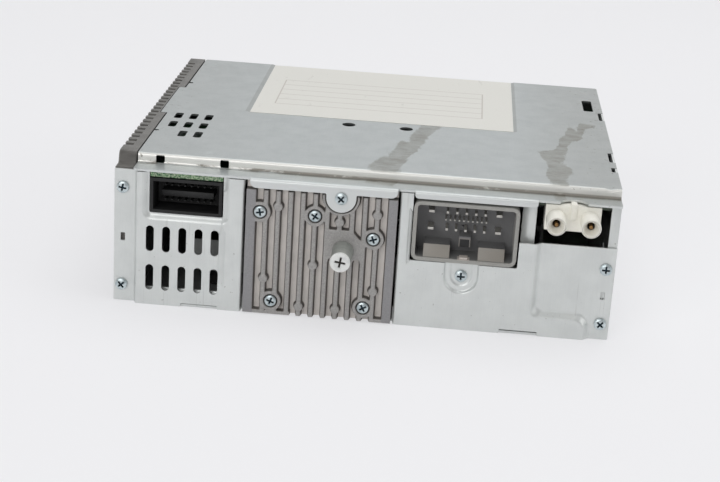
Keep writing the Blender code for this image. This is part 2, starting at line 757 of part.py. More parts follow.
def make_piece(name, material, form, *changes, pivot=(0, 0, 0)):
    """Makes one piece, and joins or cuts further forms with live Boolean modifiers.

    Each change is ("UNION", form) or ("DIFFERENCE", form). The pivot becomes the piece's origin.
    """
    centre = Vector(pivot)
    piece = add_mesh(name, form, centre)
    piece.data.materials.append(material)
    piece.location = centre
    for number, (operation, tool) in enumerate(changes):
        helper = add_mesh(f"{name}_tool_{number}", tool, centre)
        helper.parent = piece
        helper.hide_render = True
        helper.display_type = "WIRE"
        boolean = piece.modifiers.new(operation.lower(), "BOOLEAN")
        boolean.operation = operation
        boolean.object = helper
        boolean.solver = "EXACT"
        boolean.use_self = True
    return piece


def screw(name, centre, seat):
    """A pan-head screw with its head on a seat that faces the rear."""
    underside = seat - FIT_GAP
    face = underside - SCREW_HEAD_HEIGHT
    profile = [(0, face), (SCREW_HEAD_RADIUS - SCREW_CROWN, face),
               (SCREW_HEAD_RADIUS, face + SCREW_CROWN), (SCREW_HEAD_RADIUS, underside),
               (SCREW_SHANK_RADIUS, underside), (SCREW_SHANK_RADIUS, underside + SCREW_LENGTH),
               (0, underside + SCREW_LENGTH)]
    form = bmesh.new()
    turned(form, profile, "Y", centre, SMALL_SIDES)
    return make_piece(name, bright_steel(), form)


def screw_hole(form, x, z, start, end):
    prism(form, circle((x, z), SCREW_HOLE_RADIUS, SMALL_SIDES), "Y", start, end)


def across(share):
    """Gives a place along the case's width, as a share of it from the centre."""
    return CASE_WIDTH * share


def along(share):
    """Gives a place along the case's depth, as a share of it from the rear."""
    return REAR + CASE_DEPTH * share


def height(share):
    """Gives a height, as a share of the case's height from the underside."""
    return CASE_HEIGHT * share


def sink_places():
    return [(SINK_LEFT + SINK_WIDTH * share_x, height(share_z)) for share_x, share_z in BOSS_SHARES]


def left_screws():
    return [(LEFT + STRIP_WIDTH * share_x, height(share_z)) for share_x, share_z in LEFT_SCREW_SHARES]


def right_screws():
    start = RIGHT - REAR_FLANGE_WIDTH
    return [(start + REAR_FLANGE_WIDTH * share_x, height(share_z)) for share_x, share_z in RIGHT_SCREW_SHARES]


def side_holes():
    return [(along(share), SIDE_HOLE_Z) for share in SIDE_HOLE_DEPTH_SHARES]


def rib_x(index):
    return SINK_LEFT + RIB_MARGIN + index * RIB_PITCH


def chassis_tray():
    tray = bmesh.new()
    block(tray, (TRAY_LEFT, RIGHT), (BEHIND_PANEL, FRONT), (0, SHEET))
    walls = bmesh.new()
    past_step = REAR + COVER_STEP + SHEET + FIT_GAP
    side_wall = [(BEHIND_PANEL, 0), (FRONT, 0), (FRONT, WALL_TOP), (past_step, WALL_TOP),
                 (past_step, PANEL_TOP), (BEHIND_PANEL, PANEL_TOP)]
    prism(walls, side_wall, "X", TRAY_LEFT, TRAY_LEFT + SHEET)
    prism(walls, side_wall, "X", RIGHT - SHEET, RIGHT)
    block(walls, (TRAY_LEFT, RIGHT), (FRONT - SHEET, FRONT), (0, WALL_TOP))
    block(walls, (TRAY_LEFT, RIGHT), (BEHIND_PANEL, BEHIND_PANEL + SHEET), (0, SILL_HEIGHT))
    shoulder = ANTENNA_SILL - REAR_FLANGE_DROP
    flange = [(RIGHT - REAR_FLANGE_WIDTH, 0), (RIGHT, 0), (RIGHT, PANEL_TOP),
              (RIGHT - REAR_FLANGE_NARROW, PANEL_TOP), (RIGHT - REAR_FLANGE_NARROW, shoulder),
              (RIGHT - REAR_FLANGE_WIDTH, shoulder)]
    prism(walls, flange, "Y", BEHIND_PANEL, BEHIND_PANEL + SHEET)
    for start_share, length_share in EDGE_NOTCH_SHARES:
        start, end = along(start_share) + FIT_GAP, along(start_share + length_share) - FIT_GAP
        block(walls, (RIGHT - SHEET, RIGHT), (start, end), (WALL_TOP - WELD_DEPTH, TOP))
    tab_top = BOARD_UNDERSIDE - FIT_GAP
    for share in BOARD_TAB_SHARES:
        start = along(share)
        for span in ((TRAY_LEFT, TRAY_LEFT + BOARD_TAB_REACH), (RIGHT - BOARD_TAB_REACH, RIGHT)):
            block(walls, span, (start, start + BOARD_TAB_LENGTH), (tab_top - SHEET, tab_top))
    ear_inner = SLOT_HALF_WIDTH + RUN_GAP + FLAP_EAR_THICKNESS
    for side in (-1, 1):
        span = sorted((side * ear_inner, side * (ear_inner + FLAP_EAR_THICKNESS)))
        block(walls, span, (FLAP_PIVOT_Y - FLAP_EAR_THICKNESS - FLAP_PIN_RADIUS, FRONT - WELD_DEPTH),
              (FLAP_PIVOT_Z - FLAP_EAR_REACH, FLAP_PIVOT_Z + FLAP_EAR_REACH))
    holes = bmesh.new()
    block(holes, (SINK_LEFT - FIT_GAP, SINK_RIGHT + FIT_GAP),
          (BEHIND_PANEL - CUT_OVERRUN, BEHIND_PANEL + SHEET + FIT_GAP), (SHEET, SILL_HEIGHT + CUT_OVERRUN))
    window_half = SLOT_HEIGHT / 2 + WALL_WINDOW_EXTRA
    block(holes, (-SLOT_HALF_WIDTH - WALL_WINDOW_EXTRA, SLOT_HALF_WIDTH + WALL_WINDOW_EXTRA),
          (FRONT - SHEET - FIT_GAP, FRONT + CUT_OVERRUN),
          (DISC_PATH_Z - window_half, DISC_PATH_Z + window_half))
    for x, z in right_screws():
        screw_hole(holes, x, z, BEHIND_PANEL - CUT_OVERRUN, BEHIND_PANEL + SHEET + FIT_GAP)
    for centre in side_holes():
        prism(holes, circle(centre, SIDE_HOLE_RADIUS, SMALL_SIDES), "X", RIGHT - CUT_OVERRUN,
              RIGHT + CUT_OVERRUN)
    pin_hole = circle((FLAP_PIVOT_Y, FLAP_PIVOT_Z), FLAP_PIN_RADIUS + FIT_GAP, SMALL_SIDES)
    for side in (-1, 1):
        prism(holes, pin_hole, "X", *sorted((side * (ear_inner - FIT_GAP),
                                             side * (ear_inner + FLAP_EAR_THICKNESS + FIT_GAP))))
    side_share, depth_share = FLOOR_SLOT_SHARES
    for index in range(FLOOR_SLOTS):
        y = along(depth_share) + index * FLOOR_SLOT_PITCH
        for side in (-1, 1):
            x = side * across(side_share)
            block(holes, (x - FLOOR_SLOT_LENGTH / 2, x + FLOOR_SLOT_LENGTH / 2),
                  (y, y + FLOOR_SLOT_WIDTH), (-CUT_OVERRUN, SHEET + CUT_OVERRUN))
    return make_piece("chassis_tray", zinc_steel(), tray, ("UNION", walls), ("DIFFERENCE", holes))


def side_heat_sink():
    step = REAR + SIDE_SINK_STEP
    shoulder = TOP - SIDE_SINK_SHOULDER_DROP
    section = [(BEHIND_PANEL, SIDE_SINK_BOTTOM), (FRONT, SIDE_SINK_BOTTOM), (FRONT, TOP), (step, TOP),
               (step - SIDE_SINK_ROUND / 2, shoulder), (BEHIND_PANEL, shoulder)]
    radii = [0, 0, 0, SIDE_SINK_ROUND, SIDE_SINK_ROUND / 2, 0]
    body = bmesh.new()
    prism(body, round_corners(section, radii), "X", LEFT, SIDE_SINK_INNER)
    grooves = bmesh.new()
    mouth, root = FIN_GROOVE_MOUTH / 2, FIN_GROOVE_ROOT / 2
    first, last = (along(share) for share in FIN_RANGE_SHARES)
    for index in range(FIN_GROOVES):
        y = first + (last - first) * index / (FIN_GROOVES - 1)
        outline = [(LEFT - CUT_OVERRUN, y - mouth), (LEFT, y - mouth), (LEFT + FIN_GROOVE_DEPTH, y - root),
                   (LEFT + FIN_GROOVE_DEPTH, y + root), (LEFT, y + mouth), (LEFT - CUT_OVERRUN, y + mouth)]
        prism(grooves, outline, "Z", -CUT_OVERRUN, TOP + CUT_OVERRUN)
    rebate = COVER_LEFT - COVER_TAB_REACH - FIT_GAP
    tab_start, tab_end = (along(share) for share in COVER_TAB_SHARES)
    block(grooves, (rebate, SIDE_SINK_INNER + CUT_OVERRUN), (tab_start - FIT_GAP, tab_end + FIT_GAP),
          (TOP - SHEET - FIT_GAP, TOP + CUT_OVERRUN))
    for x, z in left_screws():
        screw_hole(grooves, x, z, BEHIND_PANEL - CUT_OVERRUN, BEHIND_PANEL + SCREW_HOLE_DEPTH)
    bosses = bmesh.new()
    holes = bmesh.new()
    for centre in side_holes():
        prism(bosses, circle(centre, SIDE_BOSS_RADIUS), "X", LEFT, SIDE_SINK_INNER - WELD_DEPTH)
        prism(holes, circle(centre, SIDE_HOLE_RADIUS, SMALL_SIDES), "X", LEFT - CUT_OVERRUN,
              LEFT + SIDE_HOLE_DEPTH)
    return make_piece("side_heat_sink", dark_casting(), body, ("DIFFERENCE", grooves), ("UNION", bosses),
                      ("DIFFERENCE", holes))


def top_cover():
    step = REAR + COVER_STEP
    flange_end = LEDGE_TOP - MIDDLE_FLANGE_DROP
    path = [(FLANGE_FACE, flange_end), (FLANGE_FACE, LEDGE_TOP), (step, LEDGE_TOP), (step, TOP),
            (FRONT, TOP)]
    # The path runs over the outer faces from the flange to the front, so the sheet is on its right
    section = turned_over(sheet_outline(turned_over(path), SHEET))
    sheet = bmesh.new()
    prism(sheet, section, "X", COVER_LEFT, RIGHT)

    tabs = bmesh.new()
    block(tabs, (COVER_LEFT - COVER_TAB_REACH, COVER_LEFT + WELD_DEPTH),
          [along(share) for share in COVER_TAB_SHARES], (TOP - SHEET, TOP))
    prism(tabs, circle((TAB_X, TAB_Z), TAB_RADIUS), "Y", FLANGE_FACE, FLANGE_FACE + SHEET)

    cuts = bmesh.new()
    cut_face = FLANGE_FACE - CUT_OVERRUN
    trimmed = RAISED + FIT_GAP
    below = flange_end - CUT_OVERRUN
    above = LEDGE_TOP + CUT_OVERRUN
    for span in ((COVER_LEFT - CUT_OVERRUN, MIDDLE_FLANGE_LEFT),
                 (MIDDLE_FLANGE_RIGHT, CONNECTOR_FLANGE_LEFT),
                 (CONNECTOR_FLANGE_RIGHT, RIGHT + CUT_OVERRUN)):
        block(cuts, span, (cut_face, trimmed), (below, above))
    connector_end = LEDGE_TOP - CONNECTOR_FLANGE_DROP
    block(cuts, (CONNECTOR_FLANGE_LEFT - WELD_DEPTH, CONNECTOR_FLANGE_RIGHT + WELD_DEPTH),
          (cut_face, FLANGE_FACE + SHEET + FIT_GAP), (below, connector_end))
    for x, side in ((MIDDLE_FLANGE_LEFT, 1), (MIDDLE_FLANGE_RIGHT, -1)):
        corner = round_corners([(x - side * CUT_OVERRUN, below), (x + side * FLANGE_CORNER, below),
                                (x + side * FLANGE_CORNER, flange_end), (x, flange_end + FLANGE_CORNER),
                                (x - side * CUT_OVERRUN, flange_end + FLANGE_CORNER)], 0)
        prism(cuts, corner, "Y", cut_face, FLANGE_FACE + SHEET + FIT_GAP)
    middle = TOP - LEDGE_DROP / 2
    for share in WINDOW_SHARES:
        x = across(share)
        block(cuts, (x - WINDOW_WIDTH / 2, x + WINDOW_WIDTH / 2),
              (step - CUT_OVERRUN, step + SHEET + CUT_OVERRUN),
              (middle - WINDOW_HEIGHT / 2, middle + WINDOW_HEIGHT / 2))
    through = (TOP - CUT_OVERRUN, TOP + CUT_OVERRUN)
    vent_x, vent_y = across(VENT_SHARES[0]), along(VENT_SHARES[1])
    for row in range(VENT_ROWS):
        for column in range(VENT_COLUMNS):
            # The near row has no vent in its first column
            if row < VENT_ROWS - 1 or column > 0:
                centre = (vent_x + column * VENT_PITCH_X, vent_y - row * VENT_PITCH_Y)
                prism(cuts, slot_outline(*centre, VENT_WIDTH, VENT_LENGTH), "Z", *through)
    for share in COVER_HOLE_SHARES:
        centre = (across(share), along(COVER_HOLE_DEPTH_SHARE))
        prism(cuts, circle(centre, COVER_HOLE_RADIUS), "Z", *through)
    latch_right = RIGHT - LATCH_SLOT_INSET + LATCH_SLOT_WIDTH / 2
    latch_start = along(LATCH_SLOT_START_SHARE)
    block(cuts, (latch_right - LATCH_SLOT_WIDTH, latch_right), (latch_start, latch_start + LATCH_SLOT_LENGTH),
          through)
    for start_share, length_share in EDGE_NOTCH_SHARES:
        block(cuts, (RIGHT - EDGE_NOTCH_DEPTH, RIGHT + CUT_OVERRUN),
              (along(start_share), along(start_share + length_share)), through)
    for share in LEFT_NOTCH_SHARES:
        y = along(share)
        block(cuts, (COVER_LEFT - CUT_OVERRUN, COVER_LEFT + LEFT_NOTCH_SIZE), (y, y + LEFT_NOTCH_SIZE),
              through)
    prism(cuts, circle((ANTENNA_X, trimmed), ANTENNA_NOTCH_RADIUS), "Z", LEDGE_TOP - CUT_OVERRUN,
          LEDGE_TOP + CUT_OVERRUN / 2)
    screw_hole(cuts, TAB_X, TAB_Z, cut_face, FLANGE_FACE + SHEET + FIT_GAP)

    recess = bmesh.new()
    block(recess, (LABEL_LEFT - LABEL_MARGIN, LABEL_RIGHT + LABEL_MARGIN),
          (LABEL_NEAR - FIT_GAP, FRONT + CUT_OVERRUN), (TOP - LABEL_RECESS, TOP + CUT_OVERRUN))
    return make_piece("top_cover", cover_steel(), sheet, ("UNION", tabs), ("DIFFERENCE", cuts),
                      ("DIFFERENCE", recess))


def top_label():
    label = bmesh.new()
    bottom = TOP - LABEL_RECESS + LABEL_GLUE
    block(label, (LABEL_LEFT, LABEL_RIGHT), (LABEL_NEAR, LABEL_FAR), (bottom, bottom + LABEL_THICKNESS))
    return make_piece("top_label", label_paper(), label)


def panel_marks(cuts, screws, lance, foot_notch, depth):
    """Cuts what both rear panels have: screw holes, a lanced mark and a notch in the foot."""
    start, end = depth - CUT_OVERRUN, REAR + SHEET + FIT_GAP
    for x, z in screws:
        screw_hole(cuts, x, z, start, end)
    x, z = lance
    block(cuts, (x - LANCE_WIDTH / 2, x + LANCE_WIDTH / 2), (start, end),
          (z - LANCE_HEIGHT / 2, z + LANCE_HEIGHT / 2))
    block(cuts, [across(share) for share in foot_notch], (start, end),
          (PANEL_BOTTOM - CUT_OVERRUN, FOOT_NOTCH_HEIGHT))


def rear_panel_left():
    joggle = LEFT + STRIP_WIDTH
    path = [(LEFT_PANEL_EDGE, RAISED + PANEL_RETURN), (LEFT_PANEL_EDGE, RAISED),
            (joggle + JOGGLE_RUN, RAISED),
            (joggle, REAR), (LEFT, REAR)]
    section = turned_over(sheet_outline(turned_over(path), SHEET))
    panel = bmesh.new()
    prism(panel, section, "Z", PANEL_BOTTOM, PANEL_TOP)

    over = PANEL_TOP + CUT_OVERRUN
    width = DISPLAY_RIGHT - DISPLAY_LEFT

    def dish_outline(margin, top):
        box = rectangle(DISPLAY_LEFT - margin, DISPLAY_RIGHT + margin, DISPLAY_BOTTOM - margin, top)
        return round_corners(box, [DISH_CORNER, DISH_CORNER, 0, 0])

    backing = bmesh.new()
    loft(backing, dish_outline(DISH_MARGIN, PANEL_TOP), dish_outline(DISH_LIP + SHEET, PANEL_TOP), "Y",
         RAISED + WELD_DEPTH, RAISED + DISH_DEPTH + SHEET)
    hollow = bmesh.new()
    loft(hollow, dish_outline(DISH_MARGIN, over), dish_outline(DISH_LIP, over), "Y",
         RAISED - WELD_DEPTH / 2, RAISED + DISH_DEPTH)
    cuts = bmesh.new()
    opening = rectangle(DISPLAY_LEFT, DISPLAY_RIGHT, DISPLAY_BOTTOM, over)
    prism(cuts, round_corners(opening, [DISPLAY_CORNER, DISPLAY_CORNER, 0, 0]), "Y", RAISED - CUT_OVERRUN,
          RAISED + CUT_OVERRUN * 2)
    for row_share in COOLING_ROW_SHARES:
        for index in range(COOLING_SLOTS):
            x = DISPLAY_LEFT + width * (COOLING_FIRST_SHARE + index * COOLING_PITCH_SHARE)
            prism(cuts, slot_outline(x, height(row_share), COOLING_WIDTH, COOLING_HEIGHT), "Y",
                  RAISED - CUT_OVERRUN, RAISED + CUT_OVERRUN)
    share_x, share_z = LEFT_LANCE_SHARES
    lance = (LEFT + STRIP_WIDTH * share_x, height(share_z))
    panel_marks(cuts, left_screws(), lance, LEFT_FOOT_SHARES, RAISED)
    return make_piece("rear_panel_left", zinc_steel(), panel, ("UNION", backing), ("DIFFERENCE", hollow),
                      ("DIFFERENCE", cuts))


def raised_outline(left, inset, slope, bottom, top):
    """The L-shaped outline of the right panel's raised part, drawn in by an inset or out by a slope."""
    grow = slope - inset
    points = [(left, bottom), (LOWER_JOGGLE_X + grow, bottom), (LOWER_JOGGLE_X + grow, JOGGLE_Z + grow),
              (JOGGLE_X + grow, JOGGLE_Z + grow), (JOGGLE_X + grow, top), (left, top)]
    return round_corners(points, [0, 0, JOGGLE_CORNER, JOGGLE_CORNER, 0, 0])


def pocket_outline(width, bottom, top):
    """A pocket with a fully round bottom, open at the top."""
    half = width / 2
    bend = arc((POCKET_X, bottom + half), half, math.pi, math.tau, SMALL_SIDES)
    return [(POCKET_X - half, top)] + bend + [(POCKET_X + half, top)]


def rear_panel_right():
    sheet = bmesh.new()
    block(sheet, (RIGHT_PANEL_EDGE + SHEET / 2, RIGHT), (REAR, REAR + SHEET), (PANEL_BOTTOM, PANEL_TOP))
    raised = bmesh.new()
    loft(raised, raised_outline(RIGHT_PANEL_EDGE, 0, 0, PANEL_BOTTOM, PANEL_TOP),
         raised_outline(RIGHT_PANEL_EDGE, 0, JOGGLE_SLOPE, PANEL_BOTTOM, PANEL_TOP), "Y", RAISED,
         REAR + SHEET / 2)
    below, over = PANEL_BOTTOM - CUT_OVERRUN, PANEL_TOP + CUT_OVERRUN
    hollow = bmesh.new()
    inner_left = RIGHT_PANEL_EDGE + SHEET
    reach = JOGGLE_SLOPE * (PRESS_DEPTH + CUT_OVERRUN) / PRESS_DEPTH
    loft(hollow, raised_outline(inner_left, SHEET / 2, 0, below, over),
         raised_outline(inner_left, SHEET / 2, reach, below, over), "Y", RAISED + SHEET,
         REAR + SHEET + CUT_OVERRUN)

    socket_top = SOCKET_BOTTOM + FIT_GAP
    floor = RAISED + POCKET_DEPTH
    inner_floor = floor + POCKET_INNER_DEPTH
    bottom = SOCKET_BOTTOM - POCKET_DROP
    backing = bmesh.new()
    prism(backing, pocket_outline(POCKET_WIDTH, bottom, socket_top), "Y", RAISED + WELD_DEPTH,
          inner_floor + SHEET)
    pocket = bmesh.new()
    over_socket = socket_top + CUT_OVERRUN
    loft(pocket, pocket_outline(POCKET_WIDTH, bottom, over_socket),
         pocket_outline(POCKET_WIDTH - POCKET_SLOPE * 2, bottom + POCKET_SLOPE, over_socket), "Y",
         RAISED - MERGE_REACH, floor)
    inner_pocket = bmesh.new()
    prism(inner_pocket, pocket_outline(POCKET_INNER_WIDTH, SOCKET_BOTTOM - POCKET_INNER_DROP, over_socket),
          "Y", floor - WELD_DEPTH, inner_floor)
    cuts = bmesh.new()
    through = (RAISED - CUT_OVERRUN, REAR + SHEET + CUT_OVERRUN)
    block(cuts, (SOCKET_LEFT, SOCKET_RIGHT), through, (SOCKET_BOTTOM, over))
    block(cuts, (SOCKET_RIGHT - WELD_DEPTH, RIGHT + CUT_OVERRUN), through, (ANTENNA_SILL, over))
    screw_hole(cuts, *POCKET_SCREW, RAISED - CUT_OVERRUN, REAR + SHEET + CUT_OVERRUN)
    share_x, share_z = RIGHT_LANCE_SHARES
    lance = (RIGHT - REAR_FLANGE_WIDTH + REAR_FLANGE_WIDTH * share_x, height(share_z))
    panel_marks(cuts, right_screws(), lance, RIGHT_FOOT_SHARES, RAISED)
    return make_piece("rear_panel_right", zinc_steel(), sheet, ("UNION", raised), ("DIFFERENCE", hollow),
                      ("UNION", backing), ("DIFFERENCE", pocket), ("DIFFERENCE", inner_pocket),
                      ("DIFFERENCE", cuts))


def web_outline():
    """The flat web under the locating pin: it bridges four ribs and ends in an arch over each groove."""
    radius = (RIB_PITCH - RIB_CREST) / 2
    top, bottom = PIN_Z + WEB_RISE, PIN_Z - WEB_DROP
    outline = [(rib_x(WEB_FIRST_RIB), top), (rib_x(WEB_FIRST_RIB), bottom)]
    for index in range(WEB_FIRST_RIB, WEB_LAST_RIB):
        middle = (rib_x(index) + rib_x(index + 1)) / 2
        for step in range(CORNER_STEPS + 1):
            angle = math.pi * (1 - step / CORNER_STEPS)
            outline.append((middle + radius * math.cos(angle), bottom + radius * math.sin(angle)))
    outline += [(rib_x(WEB_LAST_RIB), bottom), (rib_x(WEB_LAST_RIB), PIN_Z + WEB_SHOULDER_RISE),
                (rib_x(WEB_LAST_RIB - 1) + RIB_CREST / 2, top)]
    return outline


def rear_heat_sink():
    crest = REAR - SINK_CREST
    seat = REAR - SEAT_DEPTH
    rib_top = SINK_SHELF + WELD_DEPTH
    slab_bottom = SHEET + FIT_GAP
    slab = bmesh.new()
    section = [(REAR, SINK_BOTTOM), (REAR + SHEET, SINK_BOTTOM), (REAR + SHEET, slab_bottom),
               (REAR + SINK_SLAB, slab_bottom), (REAR + SINK_SLAB, PANEL_TOP), (REAR, PANEL_TOP)]
    prism(slab, section, "X", SINK_LEFT, SINK_RIGHT)

    ribs = bmesh.new()
    root = REAR + WELD_DEPTH
    for index in range(RIB_COUNT):
        x = rib_x(index)
        outline = [(x - RIB_ROOT / 2, root), (x - RIB_CREST / 2, crest), (x + RIB_CREST / 2, crest),
                   (x + RIB_ROOT / 2, root)]
        prism(ribs, outline, "Z", SINK_BOTTOM, rib_top)
    for span in ((SINK_LEFT, SINK_LEFT + LEFT_BORDER), (SINK_RIGHT - RIGHT_BORDER, SINK_RIGHT)):
        block(ribs, span, (crest, root), (SINK_BOTTOM, rib_top))
    lands = bmesh.new()
    block(lands, (SINK_LEFT, SINK_RIGHT), (seat - WELD_DEPTH, root), (SINK_SHELF - WELD_DEPTH, PANEL_TOP))
    block(lands, (SINK_LEFT + LEFT_BORDER / 2, rib_x(FOOT_BAND_RIB)), (crest + BOSS_SINK, root),
          (SINK_BOTTOM + BOSS_SINK, SINK_BOTTOM + FOOT_BAND))
    block(lands, (rib_x(WEB_LAST_RIB), SINK_RIGHT - RIGHT_BORDER / 2), (crest + BOSS_SINK, root),
          (SINK_BOTTOM + BOSS_SINK, SINK_BOTTOM + FOOT_BAND))
    tab = (TAB_X, TAB_Z)
    seat_radius = TAB_RADIUS + TAB_CLEARANCE
    prism(lands, segment_outline(tab, seat_radius + TAB_RIM, SINK_SHELF), "Y", crest + BOSS_SINK, root)
    prism(lands, web_outline(), "Y", crest + BOSS_SINK * 2, root)
    for centre in sink_places():
        prism(lands, circle(centre, BOSS_RADIUS, BOSS_SIDES), "Y", crest - BOSS_SINK, root)
    for index, share in zip(PAD_RIBS, PAD_HEIGHT_SHARES):
        prism(lands, circle((rib_x(index), height(share)), PAD_RADIUS, PAD_SIDES), "Y", crest - PAD_RISE,
              root)

    over = PANEL_TOP + CUT_OVERRUN
    outline = [(SINK_RIGHT + CUT_OVERRUN, SINK_SHELF), (SINK_RIGHT + CUT_OVERRUN, over),
               (SINK_LEFT - CUT_OVERRUN, over), (SINK_LEFT - CUT_OVERRUN, SINK_SHELF)]
    seat_cut = bmesh.new()
    prism(seat_cut, outline + segment_outline(tab, seat_radius, SINK_SHELF), "Y", crest - CUT_OVERRUN, seat)
    holes = bmesh.new()
    drills = bmesh.new()
    for centre in sink_places():
        prism(holes, circle(centre, BOSS_RECESS_RADIUS, BOSS_SIDES), "Y", crest - CUT_OVERRUN,
              crest + BOSS_RECESS_DEPTH)
        screw_hole(drills, *centre, crest, REAR + SINK_SLAB + CUT_OVERRUN)
    screw_hole(drills, TAB_X, TAB_Z, crest - CUT_OVERRUN, REAR + SINK_SLAB + CUT_OVERRUN)
    prism(drills, circle((PIN_X, PIN_Z), PIN_BORE), "Y", crest - CUT_OVERRUN, REAR + PIN_SCREW_HOLE_DEPTH)
    return make_piece("rear_heat_sink", warm_casting(), slab, ("UNION", ribs), ("UNION", lands),
                      ("DIFFERENCE", seat_cut), ("DIFFERENCE", holes), ("DIFFERENCE", drills))


def pin_base():
    return REAR - SINK_CREST - FIT_GAP


def locating_pin():
    base = pin_base()
    end = base - PIN_LENGTH
    profile = [(PIN_BORE, base), (PIN_BASE_RADIUS, base), (PIN_END_RADIUS, end + PIN_CHAMFER),
               (PIN_END_RADIUS - PIN_CHAMFER, end), (PIN_BORE, end)]
    pin = bmesh.new()
    turned(pin, profile, "Y", (PIN_X, PIN_Z), closed=True)
    return make_piece("locating_pin", finish("pin_grey", (0.50, 0.52, 0.50), 0.45, 0.7), pin)


def locating_pin_screw():
    seat = pin_base() - PIN_LENGTH - FIT_GAP
    face = seat - PIN_SCREW_HEAD_THICKNESS
    profile = [(0, face), (PIN_END_RADIUS - PIN_CHAMFER, face), (PIN_END_RADIUS, face + PIN_CHAMFER),
               (PIN_END_RADIUS, seat), (PIN_SCREW_RADIUS, seat), (PIN_SCREW_RADIUS, seat + PIN_SCREW_LENGTH),
               (0, seat + PIN_SCREW_LENGTH)]
    body = bmesh.new()
    turned(body, profile, "Y", (PIN_X, PIN_Z))
    return make_piece("locating_pin_screw", bright_steel(), body)


def screws():
    for number, centre in enumerate(left_screws() + right_screws(), start=1):
        screw(f"panel_screw_{number}", centre, REAR)
    for number, centre in enumerate(sink_places(), start=1):
        screw(f"heat_sink_screw_{number}", centre, REAR - SINK_CREST + BOSS_RECESS_DEPTH)
    screw("bracket_screw", POCKET_SCREW, RAISED + POCKET_DEPTH + POCKET_INNER_DEPTH)
    screw("cover_screw", (TAB_X, TAB_Z), FLANGE_FACE)


def main_board():
    left = TRAY_LEFT + SHEET + FIT_GAP
    right = RIGHT - SHEET - FIT_GAP
    rear = BEHIND_PANEL
    tongue_left, tongue_right = DISPLAY_LEFT + FIT_GAP, DISPLAY_RIGHT - FIT_GAP
    tongue = REAR - BOARD_TONGUE
    past_sink = REAR + SINK_SLAB + FIT_GAP
    past_antenna = REAR + ANTENNA_BACK + FIT_GAP
    past_flange = BEHIND_PANEL + SHEET + FIT_GAP
    flange_left = RIGHT - REAR_FLANGE_NARROW - FIT_GAP
    outline = [(left, rear), (tongue_left, rear), (tongue_left, tongue), (tongue_right, tongue),
               (tongue_right, rear), (SINK_LEFT - FIT_GAP, rear), (SINK_LEFT - FIT_GAP, past_sink),
               (SINK_RIGHT + FIT_GAP, past_sink), (SINK_RIGHT + FIT_GAP, rear),
               (ANTENNA_LEFT - FIT_GAP, rear),
               (ANTENNA_LEFT - FIT_GAP, past_antenna), (ANTENNA_RIGHT + FIT_GAP, past_antenna),
               (ANTENNA_RIGHT + FIT_GAP, rear), (flange_left, rear), (flange_left, past_flange),
               (right, past_flange), (right, FRONT - BOARD_FRONT_GAP), (left, FRONT - BOARD_FRONT_GAP)]
    board = bmesh.new()
    prism(board, outline, "Z", BOARD_UNDERSIDE, PANEL_TOP)
    return make_piece("main_board", board_green(), board)


def main_connector():
    left, right = SOCKET_LEFT + FIT_GAP, SOCKET_RIGHT - FIT_GAP * 2
    bottom = SOCKET_BOTTOM + FIT_GAP
    face = RAISED - SOCKET_PROUD
    floor = REAR + SOCKET_FLOOR
    shell = bmesh.new()
    prism(shell, round_corners(rectangle(left, right, bottom, SOCKET_TOP), SOCKET_CORNER), "Y", face,
          REAR + SOCKET_DEPTH)
    body = bmesh.new()
    block(body, (left + SOCKET_BODY_INSET, right - SOCKET_BODY_INSET),
          (floor + SOCKET_WALL, REAR + SOCKET_BODY_DEPTH),
          (bottom + SOCKET_BODY_INSET, BOARD_UNDERSIDE - FIT_GAP))
    cavity = bmesh.new()
    inner = rectangle(left + SOCKET_WALL, right - SOCKET_WALL, bottom + SOCKET_WALL, SOCKET_TOP - SOCKET_WALL)
    prism(cavity, round_corners(inner, SOCKET_CORNER - SOCKET_WALL), "Y", face - CUT_OVERRUN, floor)
    guides = bmesh.new()
    width, rise = right - left, SOCKET_TOP - bottom
    guide_start = RAISED + GUIDE_START
    guide_top = bottom + SOCKET_WALL + rise * GUIDE_HEIGHT_SHARE
    guide_bottom = bottom + SOCKET_WALL / 2
    section = [(guide_start, guide_bottom), (guide_start, bottom + SOCKET_WALL),
               (guide_start + GUIDE_SLOPE, guide_top), (floor + SOCKET_WALL / 2, guide_top),
               (floor + SOCKET_WALL / 2, guide_bottom)]
    near_share, far_share = GUIDE_SHARES
    prism(guides, section, "X", left + width * near_share, left + width * far_share)
    prism(guides, section, "X", right - width * far_share, right - width * near_share)
    middle = (left + right) / 2
    block(guides, (middle - KEY_WIDTH / 2, middle + KEY_WIDTH / 2),
          (REAR + KEY_START, floor + SOCKET_WALL / 2),
          [bottom + rise * share for share in KEY_HEIGHT_SHARES])
    block(guides, (middle - KEY_FOOT_WIDTH / 2, middle + KEY_FOOT_WIDTH / 2), (guide_start, REAR + KEY_START),
          (guide_bottom, bottom + SOCKET_WALL + KEY_FOOT_HEIGHT))
    pins = bmesh.new()
    end = floor + SOCKET_WALL / 2

    def pin(x, z, width, height, tip):
        block(pins, (x - width / 2, x + width / 2), (REAR + tip, end), (z - height / 2, z + height / 2))

    for row_share in PIN_ROW_SHARES:
        z = bottom + rise * row_share
        for share in BLADE_SHARES:
            pin(left + width * share, z, BLADE_WIDTH, BLADE_THICKNESS, PIN_TIP)
        for index in range(PIN_COUNT):
            x = middle + (index - (PIN_COUNT - 1) / 2) * width * PIN_PITCH_SHARE
            pin(x, z, PIN_WIDTH, PIN_WIDTH, PIN_TIP)
    for index in range(FINE_PIN_COUNT):
        x = middle + (index - (FINE_PIN_COUNT - 1) / 2) * width * FINE_PIN_PITCH_SHARE
        pin(x, bottom + rise * FINE_PIN_ROW_SHARE, FINE_PIN_WIDTH, FINE_PIN_WIDTH, FINE_PIN_TIP)
    return make_piece("main_connector", grey_plastic(), shell, ("UNION", body), ("DIFFERENCE", cavity),
                      ("UNION", guides), ("UNION", pins))


